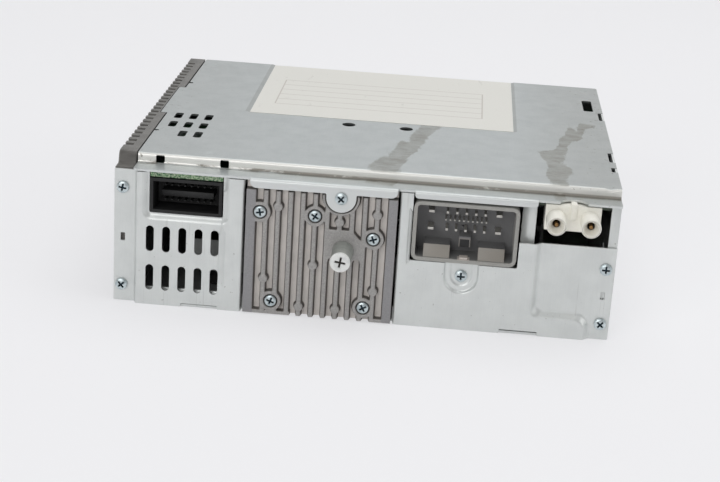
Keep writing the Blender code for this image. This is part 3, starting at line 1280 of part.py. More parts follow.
def connector_bracket():
    face = BEHIND_PANEL
    left, right = POCKET_X - BRACKET_REACH, CONNECTOR_FLANGE_RIGHT
    strip_left = SOCKET_RIGHT + FIT_GAP
    bottom, shoulder = SOCKET_BOTTOM - BRACKET_DROP, SOCKET_BOTTOM - BRACKET_SHOULDER_DROP
    outline = [(left, bottom), (right, bottom), (right, BOARD_UNDERSIDE - FIT_GAP),
               (strip_left, BOARD_UNDERSIDE - FIT_GAP), (strip_left, shoulder), (left, shoulder)]
    plate = bmesh.new()
    prism(plate, outline, "Y", face, face + SHEET)
    hole = bmesh.new()
    screw_hole(hole, *POCKET_SCREW, face - CUT_OVERRUN, face + SHEET + CUT_OVERRUN)
    return make_piece("connector_bracket", zinc_steel(), plate, ("DIFFERENCE", hole))


def display_connector():
    left, right = DISPLAY_LEFT + FIT_GAP, DISPLAY_RIGHT - FIT_GAP
    bottom, top = DISPLAY_BOTTOM + FIT_GAP, BOARD_UNDERSIDE - FIT_GAP
    middle = (bottom + top) / 2
    face = RAISED + DISPLAY_PROUD
    floor = REAR + DISPLAY_FLOOR
    shell = bmesh.new()
    block(shell, (left, right), (face, REAR + DISPLAY_DEPTH), (bottom, top))
    cavity = bmesh.new()
    block(cavity, (left + DISPLAY_WALL, right - DISPLAY_WALL), (face - CUT_OVERRUN, floor),
          (bottom + DISPLAY_WALL, top - DISPLAY_WALL))
    tongue = bmesh.new()
    block(tongue, (left + TONGUE_INSET, right - TONGUE_INSET), (REAR + TONGUE_START, floor + WELD_DEPTH),
          (middle - TONGUE_THICKNESS / 2, middle + TONGUE_THICKNESS / 2))
    contacts = bmesh.new()
    pitch = (right - left - TONGUE_INSET * 2) / CONTACT_COUNT
    for index in range(CONTACT_COUNT):
        x = left + TONGUE_INSET + pitch * (index + 0.5)
        for side in (-1, 1):
            z = middle + side * CONTACT_DROP
            block(contacts, (x - CONTACT_WIDTH / 2, x + CONTACT_WIDTH / 2),
                  (REAR + CONTACT_TIP, floor + WELD_DEPTH), (z - CONTACT_WIDTH / 2, z + CONTACT_WIDTH / 2))
    return make_piece("display_connector", black_plastic(), shell, ("DIFFERENCE", cavity), ("UNION", tongue),
                      ("UNION", contacts))


def antenna_connector():
    face = REAR - ANTENNA_PROUD
    body = bmesh.new()
    block(body, (ANTENNA_LEFT, ANTENNA_RIGHT), (face, REAR + ANTENNA_BACK),
          (ANTENNA_TOP - ANTENNA_HEIGHT, ANTENNA_TOP))
    barrels = bmesh.new()
    bores = bmesh.new()
    end = REAR - BARREL_END
    for x in BARREL_CENTRES:
        turned(barrels, [(0, end), (BARREL_RADIUS - BARREL_LIP, end), (BARREL_RADIUS, end + BARREL_LIP),
                         (BARREL_RADIUS, face + WELD_DEPTH), (0, face + WELD_DEPTH)], "Y", (x, BARREL_Z))
        turned(bores, [(0, end - CUT_OVERRUN), (BARREL_BORE + BARREL_LIP, end - CUT_OVERRUN),
                       (BARREL_BORE + BARREL_LIP, end), (BARREL_BORE, end + BARREL_LIP), (BARREL_BORE, REAR),
                       (0, REAR)], "Y", (x, BARREL_Z))
    block(barrels, (ANTENNA_X - ANTENNA_KEY_WIDTH / 2, ANTENNA_X + ANTENNA_KEY_WIDTH / 2),
          (face - ANTENNA_KEY_RISE, REAR + ANTENNA_KEY_BACK),
          (ANTENNA_TOP - ANTENNA_KEY_DROP, ANTENNA_TOP + ANTENNA_KEY_RISE))
    contacts = bmesh.new()
    for x in BARREL_CENTRES:
        prism(contacts, circle((x, BARREL_Z), CONTACT_RADIUS, SMALL_SIDES), "Y", REAR - CONTACT_LENGTH,
              REAR + WELD_DEPTH)
    return make_piece("antenna_connector", white_plastic(), body, ("UNION", barrels), ("DIFFERENCE", bores),
                      ("UNION", contacts))


def amplifier():
    back = REAR + SINK_SLAB + FIT_GAP
    left, right = (SINK_LEFT + SINK_WIDTH * share for share in CHIP_ACROSS_SHARES)
    bottom, top = (height(share) for share in CHIP_HEIGHT_SHARES)
    chip = bmesh.new()
    block(chip, (left, right), (back, back + CHIP_THICKNESS), (bottom, top))
    outer_left, outer_right = left - FIT_GAP - CLAMP_BAR_FOOT, right + FIT_GAP + CLAMP_BAR_FOOT
    inner = back + CHIP_THICKNESS + FIT_GAP
    outline = [(outer_left, back), (outer_left + CLAMP_BAR_FOOT, back), (outer_left + CLAMP_BAR_FOOT, inner),
               (outer_right - CLAMP_BAR_FOOT, inner), (outer_right - CLAMP_BAR_FOOT, back),
               (outer_right, back),
               (outer_right, inner + CLAMP_BAR_THICKNESS), (outer_left, inner + CLAMP_BAR_THICKNESS)]
    bar = bmesh.new()
    bar_bottom = (bottom + top - CLAMP_BAR_HEIGHT) / 2
    prism(bar, outline, "Z", bar_bottom, bar_bottom + CLAMP_BAR_HEIGHT)
    make_piece("amplifier_chip", black_plastic(), chip)
    make_piece("amplifier_clamp", zinc_steel(), bar)


def board_parts():
    under = BOARD_UNDERSIDE - FIT_GAP
    bottom = under - CAPACITOR_HEIGHT
    can = [(0, bottom), (CAPACITOR_RADIUS - CAPACITOR_BEVEL, bottom),
           (CAPACITOR_RADIUS, bottom + CAPACITOR_BEVEL), (CAPACITOR_RADIUS, under), (0, under)]
    can_x = -DECK_HALF_WIDTH - CAPACITOR_GAP - CAPACITOR_RADIUS
    for index in range(CAPACITOR_COUNT):
        form = bmesh.new()
        turned(form, can, "Z", (can_x, DECK_REAR + CAPACITOR_START + index * CAPACITOR_PITCH), BOSS_SIDES)
        make_piece(f"filter_capacitor_{index + 1}", black_plastic(), form)
    choke = bmesh.new()
    x, y = across(CHOKE_SHARES[0]), along(CHOKE_SHARES[1])
    ring = round_corners([(CHOKE_HOLE, y - CHOKE_WIDTH / 2), (CHOKE_RADIUS, y - CHOKE_WIDTH / 2),
                          (CHOKE_RADIUS, y + CHOKE_WIDTH / 2), (CHOKE_HOLE, y + CHOKE_WIDTH / 2)],
                         CHOKE_BEVEL, steps=1)
    turned(choke, ring, "Y", (x, under - CHOKE_RADIUS), closed=True)
    tuner = bmesh.new()
    lower = under - TUNER_HEIGHT
    right, front = TUNER_LEFT + TUNER_WIDTH, TUNER_REAR + TUNER_LENGTH
    loft(tuner, rectangle(TUNER_LEFT + TUNER_BEVEL, right - TUNER_BEVEL, TUNER_REAR + TUNER_BEVEL,
                          front - TUNER_BEVEL),
         rectangle(TUNER_LEFT, right, TUNER_REAR, front), "Z", lower, lower + TUNER_BEVEL)
    walls = bmesh.new()
    block(walls, (TUNER_LEFT, right), (TUNER_REAR, front), (lower + TUNER_BEVEL - MERGE_REACH, under))
    chip = bmesh.new()
    half = PROCESSOR_SIZE / 2
    x, y = across(PROCESSOR_SHARES[0]), along(PROCESSOR_SHARES[1])
    block(chip, (x - half, x + half), (y - half, y + half), (under - PROCESSOR_THICKNESS, under))
    make_piece("filter_choke", finish("ferrite", (0.30, 0.22, 0.15), 0.5, 0.2), choke)
    make_piece("tuner_module", tin(), tuner, ("UNION", walls))
    make_piece("processor_chip", black_plastic(), chip)


def front_bezel():
    near = FRONT + FIT_GAP
    face = near + BEZEL_THICKNESS
    plate = bmesh.new()
    outline = rectangle(LEFT + BEZEL_INSET, RIGHT - BEZEL_INSET, BEZEL_BOTTOM, TOP - BEZEL_TOP_DROP)
    prism(plate, round_corners(outline, BEZEL_CORNER), "Y", near, face)
    half = SLOT_HEIGHT / 2
    mouth = rectangle(-SLOT_HALF_WIDTH, SLOT_HALF_WIDTH, DISC_PATH_Z - half, DISC_PATH_Z + half)
    slot = bmesh.new()
    prism(slot, mouth, "Y", near - CUT_OVERRUN, face + CUT_OVERRUN)
    flare = bmesh.new()
    wide = SLOT_HALF_WIDTH + SLOT_FLARE
    tall = half + SLOT_FLARE
    loft(flare, mouth, rectangle(-wide, wide, DISC_PATH_Z - tall, DISC_PATH_Z + tall), "Y",
         face - SLOT_FLARE, face + MERGE_REACH)
    return make_piece("front_bezel", black_plastic(), plate, ("DIFFERENCE", slot), ("DIFFERENCE", flare))


def slot_flap():
    y = FLAP_PIVOT_Y
    half = FLAP_THICKNESS / 2
    flap = bmesh.new()
    block(flap, (-SLOT_HALF_WIDTH, SLOT_HALF_WIDTH), (y - half, y + half),
          (FLAP_PIVOT_Z - FLAP_DROP, FLAP_PIVOT_Z + half))
    pins = bmesh.new()
    reach = SLOT_HALF_WIDTH + RUN_GAP + FLAP_EAR_THICKNESS * 2
    prism(pins, circle((y, FLAP_PIVOT_Z), FLAP_PIN_RADIUS, SMALL_SIDES), "X", -reach, reach)
    return make_piece("slot_flap", black_plastic(), flap, ("UNION", pins), pivot=(0, y, FLAP_PIVOT_Z))


def gear_centres():
    """Gives the places of the roller, the compound gear and the worm in the Y-Z plane."""
    distance = GEAR_MODULE * (ROLLER_TEETH + IDLER_TEETH) / 2
    roller = Vector((ROLLER_Y, ROLLER_Z))
    line = Vector((math.cos(GEAR_LINE_ANGLE), math.sin(GEAR_LINE_ANGLE)))
    idler = roller + line * distance
    worm = idler + Vector((0, WHEEL_MODULE * WHEEL_TEETH / 2 + WORM_PITCH_RADIUS))
    return roller, idler, worm


def gear_spans():
    """Gives where the gears, the worm wheel and the worm lie along X, outside the deck's right wall."""
    gear_start = DECK_HALF_WIDTH + GEAR_WALL_GAP
    gear_end = gear_start + GEAR_WIDTH
    wheel_start = gear_end + WHEEL_OFFSET
    wheel_end = wheel_start + WHEEL_WIDTH
    return gear_start, gear_end, wheel_start, wheel_end


def deck_frame():
    half = DECK_HALF_WIDTH
    rear, front = DECK_REAR, ROLLER_Y + DECK_FRONT_REACH
    wall_top = DISC_PATH_Z - DECK_WALL_DROP
    base = bmesh.new()
    block(base, (-half, half), (rear, front), (DECK_FLOOR, DECK_TOP))
    walls = bmesh.new()
    for side in (-1, 1):
        span = sorted((side * (half - DECK_SHEET), side * half))
        block(walls, span, (rear, front), (DECK_FLOOR, wall_top))
        for middle, pivot_z in ((CLAMP_PIVOT_Y, CLAMP_PIVOT_Z), (GUIDE_PIVOT_Y, GUIDE_PIVOT_Z)):
            block(walls, span, (middle - EAR_HALF_LENGTH, middle + EAR_HALF_LENGTH),
                  (wall_top - WELD_DEPTH, pivot_z + EAR_RISE))
        holder_start = DISC_Y - ROD_FRONT_GAP + FIT_GAP
        x = side * ROD_X
        block(walls, (x - HOLDER_WIDTH / 2, x + HOLDER_WIDTH / 2), (holder_start, holder_start + DECK_SHEET),
              (DECK_FLOOR, ROD_Z + HOLDER_RISE))
    roller, idler, worm = gear_centres()
    gear_start, gear_end, wheel_start, wheel_end = gear_spans()
    block(walls, (-half, half), (rear, rear + DECK_SHEET), (DECK_FLOOR, DECK_FLOOR + DECK_REAR_WALL))
    prism(walls, circle(idler, STUD_RADIUS, SMALL_SIDES), "X", half - WELD_DEPTH, wheel_end + FIT_GAP)
    shelf_top = worm.y - LOADING_MOTOR_RADIUS - FIT_GAP
    worm_x = (wheel_start + wheel_end) / 2
    motor_end = worm.x - WORM_LENGTH / 2 - MOTOR_GAP
    block(walls, (half - WELD_DEPTH, worm_x + LOADING_MOTOR_RADIUS),
          (motor_end - LOADING_MOTOR_LENGTH, motor_end), (shelf_top - MOTOR_SHELF_THICKNESS, shelf_top))
    cuts = bmesh.new()
    block(cuts, (-DECK_WINDOW_HALF, DECK_WINDOW_HALF), (rear + DECK_WINDOW_REAR, DISC_Y - DECK_WINDOW_FRONT),
          (DECK_FLOOR - CUT_OVERRUN, DECK_TOP + CUT_OVERRUN))
    for side in (-1, 1):
        span = sorted((side * (half - DECK_SHEET - FIT_GAP), side * (half + FIT_GAP)))
        for centre, radius in (((CLAMP_PIVOT_Y, CLAMP_PIVOT_Z), ARM_PIN_RADIUS),
                               ((GUIDE_PIVOT_Y, GUIDE_PIVOT_Z), GUIDE_PIN_RADIUS),
                               (roller, ROLLER_SHAFT_RADIUS)):
            prism(cuts, circle(centre, radius + FIT_GAP, SMALL_SIDES), "X", *span)
    return make_piece("deck_frame", zinc_steel(), base, ("UNION", walls), ("DIFFERENCE", cuts))


def deck_dampers():
    low, high = SHEET + FIT_GAP, DECK_FLOOR - FIT_GAP
    profile = [(0, low), (DAMPER_RADIUS, low), (DAMPER_WAIST, (low + high) / 2), (DAMPER_RADIUS, high),
               (0, high)]
    x = DECK_HALF_WIDTH - DAMPER_SIDE_INSET
    ends = (DECK_REAR + DAMPER_END_INSET, ROLLER_Y + DECK_FRONT_REACH - DAMPER_END_INSET)
    corners = [(side, y) for side in (-x, x) for y in ends]
    for number, centre in enumerate(corners, start=1):
        damper = bmesh.new()
        turned(damper, profile, "Z", centre, BOSS_SIDES)
        make_piece(f"deck_damper_{number}", black_rubber(), damper)


def disc_drive():
    low = DECK_TOP + FIT_GAP
    motor_top = DISC_PATH_Z - SPINDLE_MOTOR_DROP
    motor = bmesh.new()
    turned(motor, [(0, low), (SPINDLE_MOTOR_RADIUS, low),
                   (SPINDLE_MOTOR_RADIUS, motor_top - SPINDLE_MOTOR_BEVEL),
                   (SPINDLE_MOTOR_RADIUS - SPINDLE_MOTOR_BEVEL, motor_top), (0, motor_top)], "Z", (0, DISC_Y))
    shaft_bottom = motor_top + FIT_GAP
    underside = TURNTABLE_TOP - TURNTABLE_THICKNESS
    hub_top = TURNTABLE_TOP + HUB_HEIGHT
    table = bmesh.new()
    turned(table, [(0, shaft_bottom), (SPINDLE_RADIUS, shaft_bottom), (SPINDLE_RADIUS, underside),
                   (TURNTABLE_RADIUS, underside), (TURNTABLE_RADIUS, TURNTABLE_TOP),
                   (HUB_RADIUS, TURNTABLE_TOP), (HUB_RADIUS - HUB_CHAMFER, hub_top), (0, hub_top)],
           "Z", (0, DISC_Y))
    make_piece("spindle_motor", bright_steel(), motor)
    make_piece("turntable", black_plastic(), table, pivot=(0, DISC_Y, TURNTABLE_TOP))


def clamp_arm():
    pivot = (0, CLAMP_PIVOT_Y, CLAMP_PIVOT_Z)
    rear, waist = CLAMP_PIVOT_Y - ARM_REAR_REACH, CLAMP_PIVOT_Y + ARM_WAIST_REACH
    front = DISC_Y + ARM_FRONT_REACH
    wide, narrow = DECK_HALF_WIDTH - ARM_SIDE_INSET, ARM_FRONT_HALF_WIDTH
    outline = [(-wide, rear), (wide, rear), (wide, waist), (narrow, waist + narrow), (narrow, front),
               (-narrow, front), (-narrow, waist + narrow), (-wide, waist)]
    plate = bmesh.new()
    prism(plate, round_corners(outline, ARM_CORNER, CORNER_STEPS - 1), "Z", ARM_UNDERSIDE,
          ARM_UNDERSIDE + ARM_THICKNESS)
    pins = bmesh.new()
    prism(pins, circle(pivot[1:], ARM_PIN_RADIUS, SMALL_SIDES), "X", -DECK_HALF_WIDTH, DECK_HALF_WIDTH)
    hole = bmesh.new()
    prism(hole, circle((0, DISC_Y), ARM_HOLE_RADIUS), "Z", ARM_UNDERSIDE - CUT_OVERRUN,
          ARM_UNDERSIDE + ARM_THICKNESS + CUT_OVERRUN)
    arm = make_piece("clamp_arm", zinc_steel(), plate, ("UNION", pins), ("DIFFERENCE", hole), pivot=pivot)

    arm_top = ARM_UNDERSIDE + ARM_THICKNESS
    disc_top = ARM_UNDERSIDE - RUN_GAP
    bottom = TURNTABLE_TOP + CLAMP_DISC_LIFT
    hollow = bottom + CLAMP_DISC_HOLLOW_DEPTH
    cap = arm_top + RUN_GAP
    disc = bmesh.new()
    profile = [(0, hollow), (CLAMP_DISC_HOLLOW, hollow), (CLAMP_DISC_HOLLOW, bottom),
               (CLAMP_DISC_RADIUS, bottom), (CLAMP_DISC_RADIUS, disc_top), (CLAMP_DISC_NECK, disc_top),
               (CLAMP_DISC_NECK, cap), (CLAMP_DISC_CAP, cap),
               (CLAMP_DISC_CAP, cap + CLAMP_DISC_CAP_THICKNESS),
               (0, cap + CLAMP_DISC_CAP_THICKNESS)]
    turned(disc, profile, "Z", (0, DISC_Y))
    clamp = make_piece("clamp_disc", white_plastic(), disc, pivot=(0, DISC_Y, ARM_UNDERSIDE))
    clamp.location -= arm.location
    clamp.parent = arm
    arm.rotation_euler.x = CLAMP_LIFT


def pickup_drive():
    rear = DECK_REAR + DECK_SHEET + FIT_GAP
    rod_front = DISC_Y - ROD_FRONT_GAP
    low = DECK_TOP + FIT_GAP
    for name, side in (("guide_rod_left", -1), ("guide_rod_right", 1)):
        rod = bmesh.new()
        prism(rod, circle((side * ROD_X, ROD_Z), ROD_RADIUS, SMALL_SIDES), "Y", rear, rod_front)
        make_piece(name, bright_steel(), rod)

    y = SLED_Y
    bottom = ROD_Z - SLED_BELOW_ROD
    corners = rectangle(-SLED_HALF_WIDTH, SLED_HALF_WIDTH, y - SLED_HALF_LENGTH, y + SLED_HALF_LENGTH)
    sled = bmesh.new()
    prism(sled, round_corners(corners, SLED_CORNER, CORNER_STEPS - 1), "Z", bottom, SLED_TOP)
    nut = bmesh.new()
    block(nut, (SLED_HALF_WIDTH - WELD_DEPTH, SCREW_X + NUT_HALF_WIDTH),
          (y - NUT_HALF_LENGTH, y + NUT_HALF_LENGTH), (bottom + WELD_DEPTH, SLED_TOP - WELD_DEPTH))
    bores = bmesh.new()
    reach = SLED_HALF_LENGTH + CUT_OVERRUN
    for x, radius in ((-ROD_X, ROD_RADIUS), (ROD_X, ROD_RADIUS), (SCREW_X, LEAD_SCREW_RADIUS)):
        prism(bores, circle((x, ROD_Z), radius + FIT_GAP, SMALL_SIDES), "Y", y - reach, y + reach)
    lens = bmesh.new()
    lens_bottom = SLED_TOP + FIT_GAP
    ring_top, lens_top = SLED_TOP + LENS_RING_HEIGHT, SLED_TOP + LENS_HEIGHT
    turned(lens, [(0, lens_bottom), (LENS_RING_RADIUS, lens_bottom), (LENS_RING_RADIUS, ring_top),
                  (LENS_RADIUS, ring_top), (LENS_TIP_RADIUS, lens_top), (0, lens_top)], "Z", (0, y))

    screw_front = DISC_Y - LEAD_SCREW_GAP
    lead = bmesh.new()
    prism(lead, circle((SCREW_X, ROD_Z), LEAD_SCREW_RADIUS, SMALL_SIDES), "Y", rear, screw_front)
    motor = bmesh.new()
    motor_rear = screw_front + FIT_GAP
    flats = circle((SCREW_X, ROD_Z), SLED_MOTOR_RADIUS)
    outline = [(x, max(min(z, ROD_Z + SLED_MOTOR_FLAT), ROD_Z - SLED_MOTOR_FLAT)) for x, z in flats]
    prism(motor, outline, "Y", motor_rear, motor_rear + SLED_MOTOR_LENGTH)
    saddle = bmesh.new()
    block(saddle, (SCREW_X - SLED_MOTOR_RADIUS, SCREW_X + SLED_MOTOR_RADIUS),
          (motor_rear, motor_rear + SLED_MOTOR_LENGTH), (low, ROD_Z - SLED_MOTOR_FLAT + WELD_DEPTH))
    make_piece("pickup_sled", black_plastic(), sled, ("UNION", nut), ("DIFFERENCE", bores),
               pivot=(0, y, ROD_Z))
    make_piece("pickup_lens", finish("lens_blue", (0.30, 0.40, 0.60), 0.1, 0.0), lens, pivot=(0, y, ROD_Z))
    make_piece("lead_screw", bright_steel(), lead, pivot=(SCREW_X, rear, ROD_Z))
    make_piece("sled_motor", bright_steel(), motor, ("UNION", saddle))


def gear_outline(centre, module, teeth, phase):
    """Straight-sided teeth, thinned by the flank gap, with a space or a tooth turned to the phase."""
    pitch_radius = module * teeth / 2
    tip, root = pitch_radius + module * TOOTH_TIP_SHARE, pitch_radius - module * TOOTH_ROOT_SHARE
    step = math.tau / teeth
    half_tooth = step / 4 - GEAR_FLANK_GAP / pitch_radius
    outline = []
    for index in range(teeth):
        middle = phase + index * step
        for radius, share in zip((root, tip, tip, root), TOOTH_OUTLINE_SHARES):
            angle = middle + half_tooth * share
            outline.append((centre[0] + radius * math.cos(angle), centre[1] + radius * math.sin(angle)))
    return outline


def loading_drive():
    roller, idler, worm = gear_centres()
    gear_start, gear_end, wheel_start, wheel_end = gear_spans()
    reach = gear_start - FIT_GAP
    shaft = bmesh.new()
    prism(shaft, circle(roller, ROLLER_SHAFT_RADIUS, SMALL_SIDES), "X", -reach, reach)
    sleeve = bmesh.new()
    bore = ROLLER_SHAFT_RADIUS + FIT_GAP
    half = DECK_HALF_WIDTH - ROLLER_SIDE_INSET
    turned(sleeve, [(bore, -half), (ROLLER_END_RADIUS, -half), (ROLLER_MIDDLE_RADIUS, 0),
                    (ROLLER_END_RADIUS, half), (bore, half)], "X", roller, closed=True)
    gear = bmesh.new()
    toward_idler = GEAR_LINE_ANGLE
    prism(gear, gear_outline(roller, GEAR_MODULE, ROLLER_TEETH, toward_idler), "X", gear_start, gear_end)

    compound = bmesh.new()
    half_step = math.pi / IDLER_TEETH
    prism(compound, gear_outline(idler, GEAR_MODULE, IDLER_TEETH, toward_idler + math.pi + half_step), "X",
          gear_start, gear_end)
    wheel = bmesh.new()
    prism(wheel, gear_outline(idler, WHEEL_MODULE, WHEEL_TEETH, math.pi / 2), "X", wheel_start, wheel_end)
    prism(wheel, circle(idler, WHEEL_HUB_RADIUS), "X", gear_end - WELD_DEPTH, wheel_start + WELD_DEPTH)
    bore_cut = bmesh.new()
    prism(bore_cut, circle(idler, STUD_RADIUS + FIT_GAP, SMALL_SIDES), "X", gear_start - CUT_OVERRUN,
          wheel_end + CUT_OVERRUN)

    worm_x = (wheel_start + wheel_end) / 2
    worm_core = bmesh.new()
    start, end = worm.x - WORM_LENGTH / 2, worm.x + WORM_LENGTH / 2
    turned(worm_core, [(0, start - MOTOR_GAP + FIT_GAP), (WORM_SHAFT_RADIUS, start - MOTOR_GAP + FIT_GAP),
                       (WORM_SHAFT_RADIUS, start), (WORM_ROOT_RADIUS, start),
                       (WORM_ROOT_RADIUS, end), (0, end)],
           "Y", (worm_x, worm.y), SMALL_SIDES)
    thread = bmesh.new()
    worm_thread(thread, (worm_x, worm.y), worm.x)
    motor = bmesh.new()
    motor_end = start - MOTOR_GAP
    motor_start = motor_end - LOADING_MOTOR_LENGTH
    turned(motor, [(0, motor_start), (LOADING_MOTOR_RADIUS, motor_start), (LOADING_MOTOR_RADIUS, motor_end),
                   (0, motor_end)], "Y", (worm_x, worm.y))
    roller_centre = (0, *roller)
    idler_centre = (gear_start, *idler)
    make_piece("roller_shaft", bright_steel(), shaft, pivot=roller_centre)
    make_piece("roller_sleeve", black_rubber(), sleeve, pivot=roller_centre)
    make_piece("roller_gear", white_plastic(), gear, pivot=roller_centre)
    make_piece("compound_gear", white_plastic(), compound, ("UNION", wheel), ("DIFFERENCE", bore_cut),
               pivot=idler_centre)
    make_piece("loading_worm", brass(), worm_core, ("UNION", thread), pivot=(worm_x, worm.x, worm.y))
    make_piece("loading_motor", bright_steel(), motor)


def worm_thread(form, centre, middle):
    """Winds one start of thread round the worm: a trapezium carried along a helix."""
    lead = math.pi * WHEEL_MODULE
    turns = WORM_LENGTH / lead - 2
    steps = round(turns * WORM_TURN_STEPS)
    sunk = WORM_ROOT_RADIUS - WORM_THREAD_TIP
    section = [(sunk, -WORM_THREAD_ROOT / 2), (WORM_TIP_RADIUS, -WORM_THREAD_TIP / 2),
               (WORM_TIP_RADIUS, WORM_THREAD_TIP / 2), (sunk, WORM_THREAD_ROOT / 2)]
    rings = []
    for step in range(steps + 1):
        turn = step / WORM_TURN_STEPS - turns / 2
        # Half a lead of shift puts a space of the thread, at the wheel's side, on the wheel's tooth
        angle = math.tau * turn - math.pi / 2
        reach = middle + (turn + 0.5) * lead
        rings.append([form.verts.new(place("Y", centre[0] + radius * math.cos(angle),
                                           centre[1] + radius * math.sin(angle), reach + offset))
                      for radius, offset in section])
    for near, far in zip(rings, rings[1:]):
        for index in range(len(section)):
            form.faces.new((near[index - 1], near[index], far[index], far[index - 1]))
    form.faces.new(rings[0])
    form.faces.new(rings[-1])


def disc_guide():
    pivot = (0, GUIDE_PIVOT_Y, GUIDE_PIVOT_Z)
    half = DECK_HALF_WIDTH - GUIDE_SIDE_INSET
    rear, front = GUIDE_PIVOT_Y - GUIDE_REAR_REACH, ROLLER_Y + GUIDE_FRONT_REACH
    top = GUIDE_UNDERSIDE + GUIDE_THICKNESS
    arm_span = (GUIDE_PIVOT_Y - GUIDE_ARM_HALF_LENGTH, GUIDE_PIVOT_Y + GUIDE_ARM_HALF_LENGTH)
    plate = bmesh.new()
    block(plate, (-half, half), (rear, front), (GUIDE_UNDERSIDE, top))
    fittings = bmesh.new()
    reach = DECK_HALF_WIDTH - DECK_SHEET - RUN_GAP
    for side in (-1, 1):
        span = sorted((side * (half - WELD_DEPTH), side * reach))
        block(fittings, span, arm_span, (GUIDE_PIVOT_Z - GUIDE_PIN_RADIUS - WELD_DEPTH,
                                         GUIDE_PIVOT_Z + GUIDE_PIN_RADIUS + WELD_DEPTH))
        block(fittings, sorted((side * (half - GUIDE_ARM_WIDTH), side * half)), arm_span,
              (top - WELD_DEPTH, GUIDE_PIVOT_Z + GUIDE_PIN_RADIUS + WELD_DEPTH))
        prism(fittings, circle(pivot[1:], GUIDE_PIN_RADIUS, SMALL_SIDES), "X",
              *sorted((side * (reach - WELD_DEPTH), side * DECK_HALF_WIDTH)))
    for index in range(GUIDE_RIB_COUNT):
        x = (index - (GUIDE_RIB_COUNT - 1) / 2) * half / GUIDE_RIB_COUNT * 2
        block(fittings, (x - GUIDE_RIB_WIDTH / 2, x + GUIDE_RIB_WIDTH / 2),
              (rear + WELD_DEPTH, front - WELD_DEPTH), (top - WELD_DEPTH, top + GUIDE_RIB_HEIGHT))
    return make_piece("disc_guide", black_plastic(), plate, ("UNION", fittings), pivot=pivot)


clear_scene()
chassis_tray()
side_heat_sink()
rear_heat_sink()
rear_panel_left()
rear_panel_right()
top_cover()
top_label()
locating_pin()
locating_pin_screw()
screws()
main_board()
main_connector()
connector_bracket()
display_connector()
antenna_connector()
amplifier()
board_parts()
front_bezel()
slot_flap()
deck_frame()
deck_dampers()
disc_drive()
clamp_arm()
pickup_drive()
loading_drive()
disc_guide()
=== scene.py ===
# %% [markdown]
# # A car CD radio, seen from its connectors
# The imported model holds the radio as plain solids, one for each piece. This lesson dresses it: sheet
# steel gets its soft bends and its grime, the castings get their rounded ribs, and each plastic gets
# its own skin. The model is loaded first, so that every later step can measure from it.

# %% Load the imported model
import json
import math

import bmesh
import bpy
import numpy
from mathutils import Matrix, Vector


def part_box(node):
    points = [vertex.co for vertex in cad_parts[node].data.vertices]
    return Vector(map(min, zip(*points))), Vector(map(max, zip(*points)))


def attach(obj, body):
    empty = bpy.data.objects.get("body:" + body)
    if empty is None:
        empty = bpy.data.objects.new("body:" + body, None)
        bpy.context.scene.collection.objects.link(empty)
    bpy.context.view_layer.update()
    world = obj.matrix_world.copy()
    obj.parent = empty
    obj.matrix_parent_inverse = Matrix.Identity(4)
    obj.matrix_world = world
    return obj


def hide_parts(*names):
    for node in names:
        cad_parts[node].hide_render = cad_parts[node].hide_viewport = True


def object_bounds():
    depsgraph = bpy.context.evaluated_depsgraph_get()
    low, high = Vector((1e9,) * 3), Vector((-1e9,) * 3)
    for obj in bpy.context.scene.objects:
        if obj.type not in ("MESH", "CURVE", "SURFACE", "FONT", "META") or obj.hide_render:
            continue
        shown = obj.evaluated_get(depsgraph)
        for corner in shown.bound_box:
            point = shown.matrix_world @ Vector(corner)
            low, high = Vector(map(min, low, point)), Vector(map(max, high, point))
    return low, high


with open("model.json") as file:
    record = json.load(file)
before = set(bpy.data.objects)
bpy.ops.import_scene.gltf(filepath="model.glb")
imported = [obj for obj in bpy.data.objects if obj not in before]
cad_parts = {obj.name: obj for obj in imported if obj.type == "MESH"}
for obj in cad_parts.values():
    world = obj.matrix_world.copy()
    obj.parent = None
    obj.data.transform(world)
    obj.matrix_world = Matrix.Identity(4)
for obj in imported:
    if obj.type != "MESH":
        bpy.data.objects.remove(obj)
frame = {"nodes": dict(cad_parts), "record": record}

solid_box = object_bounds()
low, high = (Vector(corner) for corner in solid_box)
print("the solids measure", [round(side * 1000, 1) for side in high - low], "mm")

# %% [markdown]
# # The camera
# The photograph was taken from a little above the connectors, with a lens long enough to keep the
# case's edges nearly parallel. The camera stands where the corners of the case, as they lie in the
# photograph, say that it stood. It leans over by a few degrees, as a camera held by hand does.

# %% Camera
LENS = 81.0
SENSOR = 36.0
LEAN = math.radians(3.58)
CAMERA_PLACE = Vector((0.02854, -0.62288, 0.22227))
BACKWARD = Vector((0.05134, -0.94189, 0.33200)).normalized()
LEVEL = Vector((0, 0, 1)).cross(BACKWARD).normalized()


def add_camera():
    upright = BACKWARD.cross(LEVEL)
    across = LEVEL * math.cos(LEAN) + upright * math.sin(LEAN)
    up = BACKWARD.cross(across)
    turn = Matrix((across, up, BACKWARD)).transposed().to_4x4()
    data = bpy.data.cameras.new("camera")
    data.lens = LENS
    data.sensor_width = SENSOR
    camera = bpy.data.objects.new("camera", data)
    camera.matrix_world = Matrix.Translation(CAMERA_PLACE) @ turn
    bpy.context.scene.collection.objects.link(camera)
    bpy.context.scene.camera = camera
    return camera


print("the camera looks from", add_camera().location)

# %% [markdown]
# # Sums that become nodes
# A finish is a tree of shader nodes. Wiring each sum by hand would hide what it means, so one small
# class stands for an output socket and takes part in sums. `mask * 0.3 + 0.1` then adds its own Math
# nodes. Colours and directions don't go through Math nodes, which would turn them grey.


